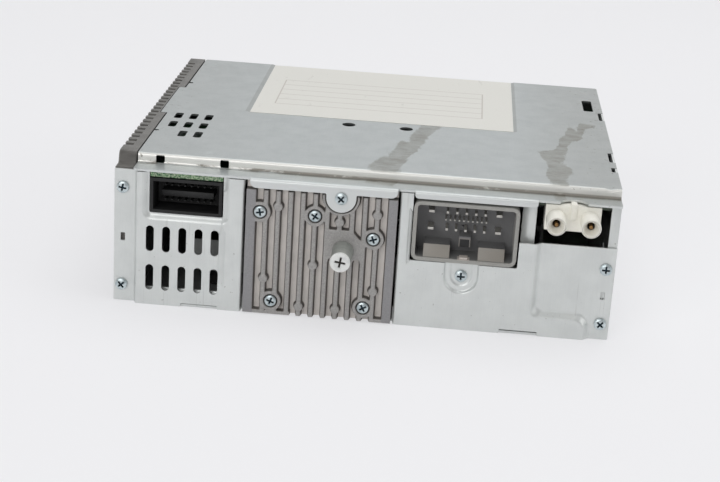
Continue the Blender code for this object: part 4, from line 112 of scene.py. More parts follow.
# %% A socket that takes part in sums
class Wire:
    def __init__(self, finish, socket):
        self.finish = finish
        self.socket = socket

    def maths(self, operation, *values):
        inputs = dict(enumerate(values))
        return self.finish.node("ShaderNodeMath", {"operation": operation}, inputs)

    def __add__(self, other):
        return self.maths("ADD", self, other)

    def __sub__(self, other):
        return self.maths("SUBTRACT", self, other)

    def __rsub__(self, other):
        return self.maths("SUBTRACT", other, self)

    def __mul__(self, other):
        return self.maths("MULTIPLY", self, other)

    __radd__ = __add__
    __rmul__ = __mul__

    def most(self, other):
        return self.maths("MAXIMUM", self, other)

    def least(self, other):
        return self.maths("MINIMUM", self, other)

    def size(self):
        return self.maths("ABSOLUTE", self)

    def repeat(self, pitch):
        return self.maths("PINGPONG", self, pitch / 2)

    def step(self, start, end):
        settings = {"interpolation_type": "SMOOTHSTEP", "clamp": True}
        inputs = {"Value": self, "From Min": start, "From Max": end}
        return self.finish.node("ShaderNodeMapRange", settings, inputs)


# %% [markdown]
# # A finish
# Every pattern is read from the object's own coordinates, in metres, so a grain that is 0.3 mm wide
# is 0.3 mm wide on every piece, and it stays put when a piece moves. Only what changes over a surface
# is linked. What is the same all over, such as the strength of a bump, is set on the socket itself.


# %% One material and its nodes
def from_screen(shade):
    return shade / 12.92 if shade <= 0.04045 else ((shade + 0.055) / 1.055) ** 2.4


def colour(red, green, blue):
    return tuple(from_screen(shade / 255) for shade in (red, green, blue)) + (1,)


skins = {}


class Finish:
    def __init__(self, name):
        self.material = bpy.data.materials.new(name + "_skin")
        skins[name] = self.material
        self.material.use_nodes = True
        self.tree = self.material.node_tree
        self.tree.nodes.clear()
        self.place = self.node("ShaderNodeTexCoord", output="Object")
        parts = self.node("ShaderNodeSeparateXYZ", None, {0: self.place})
        outputs = parts.socket.node.outputs
        self.x, self.y, self.z = (Wire(self, socket) for socket in outputs)

    def node(self, kind, settings=None, inputs=None, output=0):
        made = self.tree.nodes.new(kind)
        for name, value in (settings or {}).items():
            setattr(made, name, value)
        for name, value in (inputs or {}).items():
            if isinstance(value, Wire):
                self.tree.links.new(value.socket, made.inputs[name])
            else:
                made.inputs[name].default_value = value
        return Wire(self, made.outputs[output])

    def stretched(self, across, along, up):
        inputs = {0: self.place, 1: (across, along, up)}
        return self.node("ShaderNodeVectorMath", {"operation": "MULTIPLY"}, inputs)

    def noise(self, size, stretch=None, detail=3.0, rough=0.5):
        place = self.stretched(*stretch) if stretch else self.place
        inputs = {"Vector": place, "Scale": 1 / size, "Detail": detail, "Roughness": rough}
        return self.node("ShaderNodeTexNoise", None, inputs)

    def cells(self, size, feature="F1", randomness=1.0, output="Distance", stretch=None):
        place = self.stretched(*stretch) if stretch else self.place
        inputs = {"Vector": place, "Scale": 1 / size, "Randomness": randomness}
        return self.node("ShaderNodeTexVoronoi", {"feature": feature}, inputs, output)

    def blend(self, factor, first, second):
        inputs = {0: factor, 6: first, 7: second}
        return self.node("ShaderNodeMix", {"data_type": "RGBA"}, inputs, 2)

    def near(self, across, along, up, radius, soft):
        inputs = {0: self.place, 1: (across, along, up)}
        gap = self.node("ShaderNodeVectorMath", {"operation": "DISTANCE"}, inputs, "Value")
        return 1 - gap.step(radius - soft, radius + soft)

    def facing(self, axis):
        normal = self.node("ShaderNodeNewGeometry", output="Normal")
        parts = self.node("ShaderNodeSeparateXYZ", None, {0: normal})
        return Wire(self, parts.socket.node.outputs[axis])

    def surface(self, shade, roughness, metallic=0.0, height=None, depth=0.0, **constants):
        inputs = {"Base Color": shade, "Roughness": roughness, "Metallic": metallic}
        inputs.update({name.replace("_", " "): value for name, value in constants.items()})
        if height:
            bump = {"Height": height, "Strength": 1.0, "Distance": depth}
            inputs["Normal"] = self.node("ShaderNodeBump", None, bump)
        shader = self.node("ShaderNodeBsdfPrincipled", None, inputs)
        self.node_output(shader)
        return self.material

    def node_output(self, shader):
        end = self.tree.nodes.new("ShaderNodeOutputMaterial")
        self.tree.links.new(shader.socket, end.inputs["Surface"])


# %% [markdown]
# # Floor, background and light
# The radio stands on white paper that sweeps up behind it. Soft lamps overhead and in front give it
# even light with a faint shadow, as in the photograph. Rays from the camera, and rays that metal
# reflects, find the paper's own pale colour, so the background is pale without more light.

# %% Paper sweep
PAPER = colour(243, 243, 245)
FLOOR_SIZE = 6.0
SWEEP_DISTANCE = 1.6
SWEEP_RADIUS = 0.6


def add_object(name, form):
    mesh = bpy.data.meshes.new(name)
    form.to_mesh(mesh)
    form.free()
    made = bpy.data.objects.new(name, mesh)
    bpy.context.scene.collection.objects.link(made)
    return made


def paper_finish():
    finish = Finish("white_paper")
    fibre = finish.noise(0.004)
    lit = finish.node("ShaderNodeBsdfPrincipled", None, {"Base Color": PAPER, "Roughness": 0.9})
    paths = finish.node("ShaderNodeLightPath", output="Is Camera Ray")
    glossy = Wire(finish, paths.socket.node.outputs["Is Glossy Ray"])
    clear = Wire(finish, paths.socket.node.outputs["Is Transmission Ray"])
    glow = finish.node("ShaderNodeEmission", None, {"Color": PAPER, "Strength": 1.0})
    seen = (paths + glossy + clear).least(1.0) * (fibre * 0.02 + 0.6)
    finish.node_output(finish.node("ShaderNodeMixShader", None, {0: seen, 1: lit, 2: glow}))
    return finish.material


def paper_sweep():
    form = bmesh.new()
    bmesh.ops.create_grid(form, x_segments=1, y_segments=1, size=FLOOR_SIZE / 2)
    bmesh.ops.translate(form, verts=form.verts, vec=(0, SWEEP_DISTANCE - FLOOR_SIZE / 2, 0))
    far = [edge for edge in form.edges if all(v.co.y > SWEEP_DISTANCE - 0.1 for v in edge.verts)]
    wall = bmesh.ops.extrude_edge_only(form, edges=far)["geom"]
    bmesh.ops.translate(
        form, verts=[v for v in wall if isinstance(v, bmesh.types.BMVert)], vec=(0, 0, FLOOR_SIZE / 2)
    )
    bmesh.ops.bevel(
        form, geom=far, offset=SWEEP_RADIUS, segments=16, affect="EDGES", profile=0.5, material=-1
    )
    for face in form.faces:
        face.smooth = True
    paper = add_object("paper_sweep", form)
    paper.data.materials.append(paper_finish())
    return paper


print("the paper sweep has", len(paper_sweep().data.polygons), "faces")

# %% Lamps and surroundings
AIM = Vector((0, 0, 0.02))
LAMPS = {
    "overhead": ((0.15, 0.25, 1.3), 1.6, 10.0),
    "in_front": ((-0.5, -1.3, 0.75), 1.2, 8.0),
    "from_right": ((1.3, -0.4, 0.6), 1.0, 3.0),
}
SURROUND = 0.3


def add_lamp(name, place, size, power):
    data = bpy.data.lights.new(name, "AREA")
    data.shape = "DISK"
    data.size = size
    data.energy = power
    lamp = bpy.data.objects.new(name, data)
    lamp.location = place
    lamp.rotation_euler = (AIM - Vector(place)).to_track_quat("-Z", "Y").to_euler()
    bpy.context.scene.collection.objects.link(lamp)


def surround():
    world = bpy.data.worlds.new("studio")
    world.use_nodes = True
    bpy.context.scene.world = world
    tree = world.node_tree
    tree.nodes.clear()
    shaders = []
    for strength in (SURROUND, 1.0):
        shader = tree.nodes.new("ShaderNodeBackground")
        shader.inputs["Color"].default_value = PAPER
        shader.inputs["Strength"].default_value = strength
        shaders.append(shader)
    paths = tree.nodes.new("ShaderNodeLightPath")
    mix = tree.nodes.new("ShaderNodeMixShader")
    end = tree.nodes.new("ShaderNodeOutputWorld")
    tree.links.new(paths.outputs["Is Camera Ray"], mix.inputs[0])
    tree.links.new(shaders[0].outputs[0], mix.inputs[1])
    tree.links.new(shaders[1].outputs[0], mix.inputs[2])
    tree.links.new(mix.outputs[0], end.inputs[0])


for lamp_name, lamp in LAMPS.items():
    add_lamp(lamp_name, *lamp)
surround()
bpy.context.scene.view_settings.view_transform = "Standard"
print("lamps:", ", ".join(LAMPS))

# %% [markdown]
# # Sheet steel
# The case is zinc-plated steel, rolled in one direction. Plating leaves a satin skin with a fine
# grain along the rolling direction and a faint cloudiness a few millimetres wide. Both are noise,
# stretched along the grain, and they change colour, roughness and height together, as one cause does.
# Inside the case the same steel is painted dark grey, as painted shade.


# %% Zinc-plated sheet
def between(place, start, end):
    soft = 0.0001
    return place.step(start - soft, start + soft) * (1 - place.step(end - soft, end + soft))


def sheet_skin(finish, shade, darker, grain):
    streaks = finish.noise(0.0004, grain, detail=4.0, rough=0.6)
    clouds = finish.noise(0.009, detail=4.0, rough=0.6).step(0.3, 0.75)
    tone = finish.blend(clouds * 0.3 + streaks * 0.3, shade, darker)
    return tone, streaks, clouds


INSIDE_ACROSS, INSIDE_ALONG = (-0.0828, 0.0880), (-0.0745, 0.0760)


def zinc_steel():
    finish = Finish("zinc_steel")
    tone, streaks, clouds = sheet_skin(
        finish, colour(221, 224, 222), colour(199, 202, 201), (1.0, 1.0, 0.06)
    )
    pits = finish.cells(0.0016).step(0.02, 0.09)
    spots = finish.noise(0.0013, detail=2.0).step(0.72, 0.78)
    drips = finish.noise(0.0011, (1.0, 1.0, 0.02), detail=2.0).step(0.64, 0.7)
    drips = drips * finish.noise(0.012, detail=2.0).step(0.45, 0.6)
    shade = finish.blend((spots * 0.5).most(drips * 0.16), tone, colour(120, 116, 108))
    # Painted shade: inside the case the steel is painted dark grey.
    inside = between(finish.x, *INSIDE_ACROSS) * between(finish.y, *INSIDE_ALONG)
    inside = inside * between(finish.z, 0.0015, 0.0500)
    shade = finish.blend(inside * 0.7, shade, colour(112, 113, 110))
    roughness = clouds * 0.08 + streaks * 0.1 + 0.33
    height = streaks * 0.6 + pits * 0.4
    return finish.surface(shade, roughness, 0.55, height, 0.00002)


print("finish:", zinc_steel().name)


# %% [markdown]
# # The grimy cover
# Years in a dashboard leave the cover with freckles of dirt near its edges and two long smears where
# something ran down and dried. Each smear is a band with a ragged outline: the distance from a line
# across the cover, pushed about by noise, and faded by more noise inside. Dirt also gathers at the
# foot of the step, and the faces that stand upright get a painted highlight, a paler plating colour.


# %% Cover sheet
STEP_CREST, STEP_FOOT, FOOT_HEIGHT = -0.0690, -0.0745, 0.0516
LABEL_HALF, LABEL_REAR = 0.0530, -0.0046
SMEARS = (
    ((0.0040, -0.0740), (0.0085, -0.0550), 0.0062), ((0.0085, -0.0550), (0.0240, 0.0040), 0.0040),
    ((0.0684, -0.0760), (0.0676, -0.0320), 0.0040), ((0.0676, -0.0320), (0.0800, 0.0140), 0.0034),
)


def smear(finish, start, end, width):
    across, along = end[0] - start[0], end[1] - start[1]
    run = math.hypot(across, along)
    across, along = across / run, along / run
    side = (finish.x - start[0]) * along - (finish.y - start[1]) * across
    reach = (finish.x - start[0]) * across + (finish.y - start[1]) * along
    ragged = (finish.noise(0.008, (1.0, 0.35, 1.0), detail=4.0, rough=0.5) - 0.5) * 0.016
    band = 1 - (side + ragged).size().step(width * 0.7, width)
    return band * reach.step(-0.004, 0.0) * (1 - reach.step(run, run + 0.004))


def cover_steel():
    finish = Finish("cover_steel")
    tone, streaks, clouds = sheet_skin(
        finish, colour(192, 197, 196), colour(172, 178, 178), (1.0, 0.05, 1.0)
    )
    behind = finish.y.step(STEP_CREST, STEP_CREST + 0.0015)
    # Painted highlight: upright faces from the step's crest back get paler plating, palest on the step face.
    upright = (finish.facing(1) * -1).step(0.35, 0.75) * (1 - behind)
    step_face = finish.y.step(STEP_FOOT, STEP_FOOT + 0.0015)
    tone = finish.blend(upright, tone, finish.blend(step_face, colour(213, 216, 215), colour(232, 231, 226)))
    dirt = finish.noise(0.0022, detail=5.0, rough=0.7)
    smears = smear(finish, *SMEARS[0])
    for place in SMEARS[1:]:
        smears = smears.most(smear(finish, *place))
    patchy = finish.noise(0.0035, (0.6, 1.0, 1.0), detail=6.0, rough=0.7).step(0.3, 0.7)
    film = smears * (patchy * 0.5 + 0.5) * finish.facing(2).step(0.5, 0.9)
    foot = (1 - (finish.z - FOOT_HEIGHT).size().step(0.0002, 0.0008))
    foot = foot * finish.y.step(STEP_FOOT, STEP_FOOT + 0.0020)
    grime = finish.noise(0.0060, (0.4, 1.0, 1.0), detail=5.0, rough=0.7)
    foot = foot * (grime + finish.x.step(-0.06, 0.0) * 0.14).step(0.46, 0.6)
    aged = finish.x.step(0.045, 0.085) * 0.35 + (1 - finish.x.step(-0.08, -0.03)) * 0.16
    cut_edge = (1 - finish.facing(2).size().step(0.3, 0.6)) * behind
    # Painted shade: a grey band along the two sides of the label's recess.
    label_edge_shade = (finish.x.size() - LABEL_HALF).size().step(0.0007, 0.0010)
    label_edge_shade = (1 - label_edge_shade) * finish.y.step(LABEL_REAR, LABEL_REAR + 0.0006)
    edges = finish.x.size().step(0.06, 0.088) * 0.10
    freckles = (dirt + edges).step(0.70, 0.76)
    shade = finish.blend(aged * finish.facing(2).step(0.5, 0.9), tone, colour(150, 150, 144))
    shade = finish.blend(film * 0.72, shade, colour(134, 131, 122))
    shade = finish.blend((foot * 0.75).most(freckles * 0.6), shade, colour(100, 93, 80))
    shade = finish.blend(label_edge_shade * 0.45, shade, colour(138, 139, 135))
    shade = finish.blend(cut_edge * 0.8, shade, colour(70, 73, 71))
    roughness = clouds * 0.08 + streaks * 0.1 + film * 0.2 + foot * 0.2 + 0.30
    height = streaks * 0.6 + freckles * 0.6
    return finish.surface(shade, roughness, 0.55, height, 0.00002)


print("finish:", cover_steel().name)

# %% [markdown]
# # Castings
# The two heat sinks are die-cast aluminium. The metal freezes against the mould with a skin like
# fine sand, and the mould wears unevenly, so the skin is mottled. The grooves keep their pale, warm
# skin, the flanks get painted shade, a dark line, and the ribs' crests are rubbed to an even grey.


# %% Die-cast skin
CREST_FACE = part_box("chassis_tray")[0][1] - 0.0036
FLANK_END = -0.0786
STRIP = (-0.0389, 0.0085)


def casting(name, shade, darker, grain=0.0005):
    finish = Finish(name)
    sand = finish.noise(grain, detail=5.0, rough=0.65)
    mottle = finish.noise(0.006, detail=4.0).step(0.3, 0.7)
    return finish, finish.blend(mottle * 0.5 + sand * 0.3, shade, darker), sand


def rear_casting():
    finish, tone, sand = casting("rear_casting", colour(224, 218, 212), colour(203, 198, 193))
    crest = 1 - finish.y.step(CREST_FACE + 0.0001, CREST_FACE + 0.0005)
    # Painted shade: the ribs' flanks are painted dark.
    flank_shade = finish.y.step(CREST_FACE, CREST_FACE + 0.0006) * (1 - finish.y.step(FLANK_END, FLANK_END + 0.0004))
    tone = finish.blend(flank_shade * 0.9, tone, colour(74, 71, 68))
    worn = finish.blend(sand.step(0.3, 0.7), colour(172, 170, 167), colour(150, 148, 146))
    left, right = STRIP
    strip = finish.x.step(left, left + 0.0004) * (1 - finish.x.step(right - 0.0004, right))
    worn = finish.blend((1 - strip) * 0.55, worn, colour(132, 132, 137))
    tone = finish.blend(crest, tone, worn)
    return finish.surface(tone, 0.58 - crest * 0.12, 0.3, sand, 0.00006)


def side_casting():
    finish, tone, sand = casting("side_casting", colour(112, 110, 106), colour(84, 82, 79))
    crest = (1 - finish.x.step(-0.0899, -0.0894)).most(finish.z.step(0.0544, 0.0547) * 0.6)
    tone = finish.blend(crest * sand.step(0.25, 0.6) * 0.55, tone, colour(160, 159, 155))
    return finish.surface(tone, 0.56 - crest * 0.1, 0.4, sand, 0.00008)


print("finishes:", rear_casting().name, side_casting().name)

# %% [markdown]
# # Plated screws and springs
# Bright parts are steel with a thin plating. The blue passivation on the screws is only a tint, and
# small scratches from the driver keep them from looking like mirrors. The punched crosses get painted
# shade, by their depth, which each turned piece carries with it as an attribute named sunk.


# %% Bright plated steel
def plated(name, shade, darker, roughness, metallic, sunk=None):
    finish = Finish(name)
    rubs = finish.noise(0.0005, (1.0, 1.0, 0.2), detail=4.0)
    stain = finish.noise(0.002, detail=3.0).step(0.4, 0.75)
    tone = finish.blend(stain * 0.6, shade, darker)
    if sunk:
        # Painted shade: the punched cross, where sunk is high, is painted dark.
        depth = finish.node("ShaderNodeAttribute", {"attribute_name": "sunk"}, output="Fac")
        tone = finish.blend(depth.step(0.1, 0.7), tone, sunk)
    return finish.surface(tone, rubs * 0.18 + roughness, metallic, rubs, 0.00002)


def bright_steel():
    # Its last colour is painted shade in the punched cross.
    return plated(
        "bright_steel", colour(206, 216, 218), colour(150, 166, 172), 0.24, 0.8, colour(38, 54, 62)
    )


def pin_grey():
    return plated("pin_grey", colour(164, 167, 162), colour(138, 141, 136), 0.42, 0.5)


def tin():
    return plated("tin", colour(196, 190, 178), colour(150, 142, 128), 0.24, 0.85)


def brass():
    return plated("brass", colour(204, 168, 92), colour(150, 112, 52), 0.26, 0.9)


print("finishes:", bright_steel().name, pin_grey().name, tin().name, brass().name)

# %% [markdown]
# # Plastics, rubber, board and paper
# Moulded plastic has a fine spark-eroded grain, a little dust in it, and no metal in its shine. The
# same recipe, with its own colour and grain for each, serves the sockets, the bezel, the rubber feet
# of the disc deck and the wound core.


# %% Moulded skin
def moulded(name, shade, darker, roughness, grain=0.0004, depth=0.00003):
    finish = Finish(name)
    skin = finish.noise(grain, detail=3.0)
    dust = finish.noise(0.003, detail=5.0, rough=0.65).step(0.45, 0.8)
    tone = finish.blend(dust * 0.5 + skin * 0.2, shade, darker)
    return finish.surface(tone, skin * 0.12 + dust * 0.1 + roughness, 0.0, skin, depth)


def black_plastic():
    return moulded("black_plastic", colour(14, 14, 15), colour(24, 24, 24), 0.5)


def socket_grey():
    finish = Finish("grey_plastic")
    skin = finish.noise(0.0004, detail=3.0)
    dust = finish.noise(0.003, detail=5.0, rough=0.65).step(0.45, 0.8)
    tone = finish.blend(dust * 0.4 + skin * 0.2, colour(162, 161, 156), colour(136, 136, 131))
    inside = between(finish.x, 0.0186, 0.0533) * between(finish.z, 0.0269, 0.0464)
    # Painted shade: the deep part of the opening is painted dark grey.
    deep_shade = inside * finish.y.step(-0.0804, -0.0792)
    tone = finish.blend(deep_shade * 0.85, tone, colour(96, 96, 98))
    # Painted light: the blocks' front faces get a paler grey over the painted shade.
    front = 1 - finish.y.step(-0.0774, -0.0772)
    lit_fronts = between(finish.x, 0.0215, 0.0310).most(between(finish.x, 0.0409, 0.0505))
    lit_fronts = lit_fronts * between(finish.z, 0.0270, 0.0312) * front
    tone = finish.blend(lit_fronts, tone, colour(150, 145, 137))
    latch = inside * (1 - finish.y.step(-0.0766, -0.0764)) * between(finish.x, 0.0338, 0.0382)
    arch = latch * between(finish.z, 0.0300, 0.0340)
    tone = finish.blend(arch, tone, colour(122, 118, 114))
    # Painted shade: the latch's opening is painted nearly black.
    opening_shade = latch * between(finish.x, 0.0343, 0.0377) * between(finish.z, 0.0300, 0.0335)
    tone = finish.blend(opening_shade, tone, colour(20, 20, 20))
    # Painted highlight: the ramp under the latch is painted pale.
    lit_ramp = latch * between(finish.z, 0.0265, 0.0277)
    tone = finish.blend(lit_ramp, tone, colour(200, 192, 184))
    pins = between(finish.x, 0.0215, 0.0495) * between(finish.z, 0.0351, 0.0452)
    pins = pins * (1 - finish.y.step(-0.0706, -0.0702))
    tone = finish.blend(pins, tone, colour(188, 186, 180))
    roughness = skin * 0.1 + dust * 0.1 + 0.38 - pins * 0.12
    return finish.surface(tone, roughness, pins * 0.8, skin, 0.00003)


BARREL_MIDDLE, BARREL_SPREAD, BARREL_HEIGHT = 0.07315, 0.0060, 0.0448


def antenna_ivory():
    finish = Finish("white_plastic")
    skin = finish.noise(0.0004, detail=3.0)
    dust = finish.noise(0.003, detail=5.0, rough=0.65).step(0.45, 0.8)
    tone = finish.blend(dust * 0.5 + skin * 0.2, colour(243, 241, 231), colour(222, 218, 206))
    aside = finish.x - BARREL_MIDDLE
    across = aside.size() - BARREL_SPREAD
    up = finish.z - BARREL_HEIGHT
    radius = finish.node("ShaderNodeMath", {"operation": "SQRT"}, {0: across * across + up * up})
    # Painted shade: deep in each bore the plastic is painted dark brown; its centre gets a dull brass.
    hole = (1 - radius.step(0.00125, 0.0015)) * (1 - finish.y.step(-0.0802, -0.0800))
    pin = 1 - radius.step(0.0007, 0.0008)
    tone = finish.blend(hole, tone, colour(38, 28, 20))
    tone = finish.blend(hole * pin, tone, colour(140, 108, 66))
    return finish.surface(tone, skin * 0.12 + dust * 0.1 + 0.3, hole * pin * 0.6, skin, 0.00003)


def black_rubber():
    return moulded("black_rubber", colour(30, 30, 30), colour(50, 49, 47), 0.7, 0.0008, 0.00006)


def ferrite():
    return moulded("ferrite", colour(58, 58, 60), colour(40, 40, 42), 0.55, 0.0005, 0.00005)


print("finishes:", socket_grey().name, black_plastic().name, antenna_ivory().name)
print("finishes:", black_rubber().name, ferrite().name)


# %% Circuit board, label paper and glass
def board_green():
    finish = Finish("board_green")
    weave = finish.cells(0.0006, randomness=0.3)
    tracks = finish.noise(0.0022, (1.0, 0.3, 1.0), detail=0.0).step(0.5, 0.53)
    tone = finish.blend(tracks * 0.6, colour(30, 84, 48), colour(58, 122, 66))
    cut = (1 - finish.y.step(-0.0765, -0.0755)) * finish.noise(0.0007, detail=4.0).step(0.35, 0.65)
    tone = finish.blend(cut * 0.8, tone, colour(186, 200, 170))
    # Painted shade: most of the board, all but its rear left corner, is painted near-black.
    board_shade = finish.x.step(-0.048, -0.044).most(finish.y.step(-0.070, -0.066))
    tone = finish.blend(board_shade * 0.85, tone, colour(20, 24, 20))
    return finish.surface(tone, weave * 0.1 + 0.34, 0.0, tracks + weave * 0.2, 0.00003)


def label_paper():
    finish = Finish("label_paper")
    fibre = finish.noise(0.0006, detail=4.0)
    scuffs = finish.noise(0.004, (1.0, 0.25, 1.0), detail=6.0, rough=0.7).step(0.62, 0.78)
    tone = finish.blend(fibre * 0.4, colour(232, 231, 224), colour(214, 213, 205))
    across = (finish.x + 0.002).size() - 0.042
    along = (finish.y - 0.032).size() - 0.020
    ruled = 1 - across.most(along).size().step(0.0001, 0.0004)
    rows = 1 - (finish.y - 0.012).repeat(0.0080).step(0.0001, 0.0004)
    ruled = ruled.most(rows * (1 - across.most(along).step(-0.0001, 0.0001)))
    tone = finish.blend(ruled * 0.45, tone, colour(150, 132, 120))
    tone = finish.blend(scuffs * 0.4, tone, colour(160, 158, 148))
    return finish.surface(tone, fibre * 0.1 + 0.42, 0.0, fibre, 0.00001)


def lens_glass():
    finish = Finish("lens_glass")
    haze = finish.noise(0.002)
    tone = finish.blend(haze, colour(120, 150, 190), colour(90, 110, 160))
    return finish.surface(tone, haze * 0.05 + 0.03, 0.0, Coat_Roughness=0.03)


print("finishes:", board_green().name, label_paper().name, lens_glass().name)

# %% [markdown]
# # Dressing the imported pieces
# Inside the case most pieces show little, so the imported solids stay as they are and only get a
# finish. Where an outside piece stays plain, a copy is merged and its edges get a tiny bevel,
# because no real edge is perfectly sharp and the bevel catches the light.

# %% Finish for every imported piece
slot_of = {part["node"]: part["material_slot"] for part in frame["record"]["subparts"]}
body_of = {
    node: body
    for body, nodes in frame["record"]["behaviour"]["bodies"].items()
    for node in nodes
}


for node_name, node_object in frame["nodes"].items():
    node_object.data.materials.clear()
    node_object.data.materials.append(skins[slot_of[node_name]])
print(len(frame["nodes"]), "packed pieces have a finish")

# %% Merged copies with softened edges
EDGE = 0.00018
SHARP_ANGLE = math.radians(32)
MERGE = 0.000002


def soften(piece, width=EDGE, segments=2, angle=SHARP_ANGLE):
    bevel = piece.modifiers.new("soft_edges", "BEVEL")
    bevel.width = width
    bevel.segments = segments
    bevel.limit_method = "ANGLE"
    bevel.angle_limit = angle
    bevel.harden_normals = True
    bevel.use_clamp_overlap = True
    return piece


def put_in_place(piece, node, slot=None):
    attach(piece, body_of[node])
    if not piece.data.materials:
        piece.data.materials.append(skins[slot or slot_of[node]])
    return piece


def merged_copy(node):
    form = bmesh.new()
    form.from_mesh(frame["nodes"][node].data)
    bmesh.ops.remove_doubles(form, verts=form.verts, dist=MERGE)
    for face in form.faces:
        face.smooth = True
    copy = soften(add_object(node + "_dressed", form), EDGE)
    put_in_place(copy, node)
    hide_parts(node)
    return copy


SOFTENED = (
    "side_heat_sink", "main_connector", "display_connector", "antenna_connector", "front_bezel",
    "connector_bracket", "chassis_tray",
)
for node_name in SOFTENED:
    merged_copy(node_name)
print("softened copies:", len(SOFTENED))

# %% [markdown]
# # Pressed sheet, as a fine net
# A press pushes steel sheet over rounded dies, so nothing on it has a sharp fold. A net of small
# cells takes any such form: cells outside the outline are deleted, the torn edge is pulled onto the
# outline, and every point is moved to where the press leaves it. Each outline is a distance, below
# zero inside and above zero outside, so holes and corners join by taking the larger or the smaller.
# The net is the sheet's outer skin. A Solidify modifier adds the steel's thickness on its inner side.

# %% Distances to outlines
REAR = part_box("chassis_tray")[0][1] - 0.0011
NUDGE = 0.00002
PULLS = 3


def rounded_box(x, z, left, right, bottom, top, radius):
    across = numpy.abs(x - (left + right) / 2) - (right - left) / 2 + radius
    up = numpy.abs(z - (bottom + top) / 2) - (top - bottom) / 2 + radius
    corner = numpy.hypot(numpy.maximum(across, 0), numpy.maximum(up, 0))
    return corner + numpy.minimum(numpy.maximum(across, up), 0) - radius


def round_spot(x, z, centre, radius):
    return numpy.hypot(x - centre[0], z - centre[1]) - radius


def joined(first, second, soft):
    share = numpy.clip(0.5 + (second - first) / (2 * soft), 0, 1)
    return second + (first - second) * share - soft * share * (1 - share)


def ease(value, start, end):
    share = numpy.clip((value - start) / (end - start), 0, 1)
    return share * share * (3 - 2 * share)


print("the rear face lies at", round(REAR * 1000, 2), "mm")


# %% Net, trim, shape and thickness
def net(left, right, bottom, top, cell, rows=None):
    form = bmesh.new()
    columns = round((right - left) / cell)
    rows = rows or round((top - bottom) / cell)
    bmesh.ops.create_grid(form, x_segments=columns, y_segments=rows, size=0.5)
    bmesh.ops.scale(form, verts=form.verts, vec=(right - left, top - bottom, 1))
    middle = ((left + right) / 2, (bottom + top) / 2, 0)
    bmesh.ops.translate(form, verts=form.verts, vec=middle)
    return form


def trim(form, gap):
    middles = numpy.array([face.calc_center_median()[:2] for face in form.faces]).T
    lost = [face for face, outside in zip(form.faces, gap(*middles) > 0) if outside]
    bmesh.ops.delete(form, geom=lost, context="FACES")
    torn = [vert for vert in form.verts if vert.is_boundary]
    x, z = numpy.array([vert.co[:2] for vert in torn]).T
    for pull in range(PULLS):
        value = gap(x, z)
        slope_x = (gap(x + NUDGE, z) - gap(x - NUDGE, z)) / (2 * NUDGE)
        slope_z = (gap(x, z + NUDGE) - gap(x, z - NUDGE)) / (2 * NUDGE)
        x, z = x - value * slope_x, z - value * slope_z
    for vert, across, up in zip(torn, x, z):
        vert.co.xy = across, up


def shape(form, place):
    x, z = numpy.array([vert.co[:2] for vert in form.verts]).T
    for vert, moved in zip(form.verts, numpy.transpose(place(x, z))):
        vert.co = moved


def finished_sheet(node, form, thickness):
    for face in form.faces:
        face.smooth = True
    for edge in form.edges:
        edge.smooth = not edge.is_boundary
    piece = add_object(node + "_dressed", form)
    wall = piece.modifiers.new("sheet_thickness", "SOLIDIFY")
    wall.thickness = thickness
    wall.offset = -1.0
    put_in_place(piece, node)
    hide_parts(node)
    print(node, "has", len(piece.data.polygons), "outer faces")
    return piece


# %% [markdown]
# # The left rear panel
# A screwed strip lies flat on the case, and a joggle lifts the rest by two millimetres to clear the
# board. The mouth round the display socket is dished, and ten slots let warm air out. The edge
# beside the heat sink is folded in.

# %% Left panel
SHEET = 0.0008
PRESS_DEPTH = 0.0020
FOLD_RADIUS = 0.0010
PANEL_RETURN = 0.0030
PANEL_CELL = 0.0003
PANEL_LOW, PANEL_HIGH = (corner[2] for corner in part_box("rear_panel_left"))
LEFT, LEFT_PANEL_EDGE = (corner[0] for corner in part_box("rear_panel_left"))
RIGHT_PANEL_EDGE, RIGHT = (corner[0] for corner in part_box("rear_panel_right"))
ABOVE = PANEL_HIGH + 0.010
JOGGLE = (LEFT + 0.0074, LEFT + 0.0086)
DISPLAY = (-0.0772, -0.0506, 0.0351)
DISH_DEPTH = 0.0012
DISH_RING = (0.0003, 0.0026)
SLOT_FIRST, SLOT_PITCH, SLOTS = -0.07659, 0.00587, 5
SLOT_HALF_WIDTH, SLOT_HALF_HEIGHT = 0.00145, 0.0049
SLOT_ROWS = (0.02554, 0.01074)


def folded_length(radius):
    return radius * (math.pi / 2 - 2) + PANEL_RETURN


def fold_in(x, edge, side):
    past = numpy.maximum(side * (x - edge) + FOLD_RADIUS, 0)
    angle = numpy.minimum(past / FOLD_RADIUS, math.pi / 2)
    straight = numpy.maximum(past - FOLD_RADIUS * math.pi / 2, 0)
    kept = x - side * (past - FOLD_RADIUS * numpy.sin(angle))
    return kept, FOLD_RADIUS * (1 - numpy.cos(angle)) + straight


def left_panel_gap(x, z):
    gap = rounded_box(x, z, LEFT, 0, PANEL_LOW, PANEL_HIGH, 0.0003)
    left, right, bottom = DISPLAY
    gap = numpy.maximum(gap, -rounded_box(x, z, left, right, bottom, ABOVE, 0.0008))
    for middle in SLOT_ROWS:
        for index in range(SLOTS):
            centre = SLOT_FIRST + index * SLOT_PITCH
            slot = rounded_box(x, z, centre - SLOT_HALF_WIDTH, centre + SLOT_HALF_WIDTH,
                               middle - SLOT_HALF_HEIGHT, middle + SLOT_HALF_HEIGHT, SLOT_HALF_WIDTH)
            gap = numpy.maximum(gap, -slot)
    gap = numpy.maximum(gap, -rounded_box(x, z, -0.0650, -0.0515, -0.005, 0.0015, 0.0003))
    return numpy.maximum(gap, -rounded_box(x, z, -0.0876, -0.0860, 0.0233, 0.0263, 0.0002))


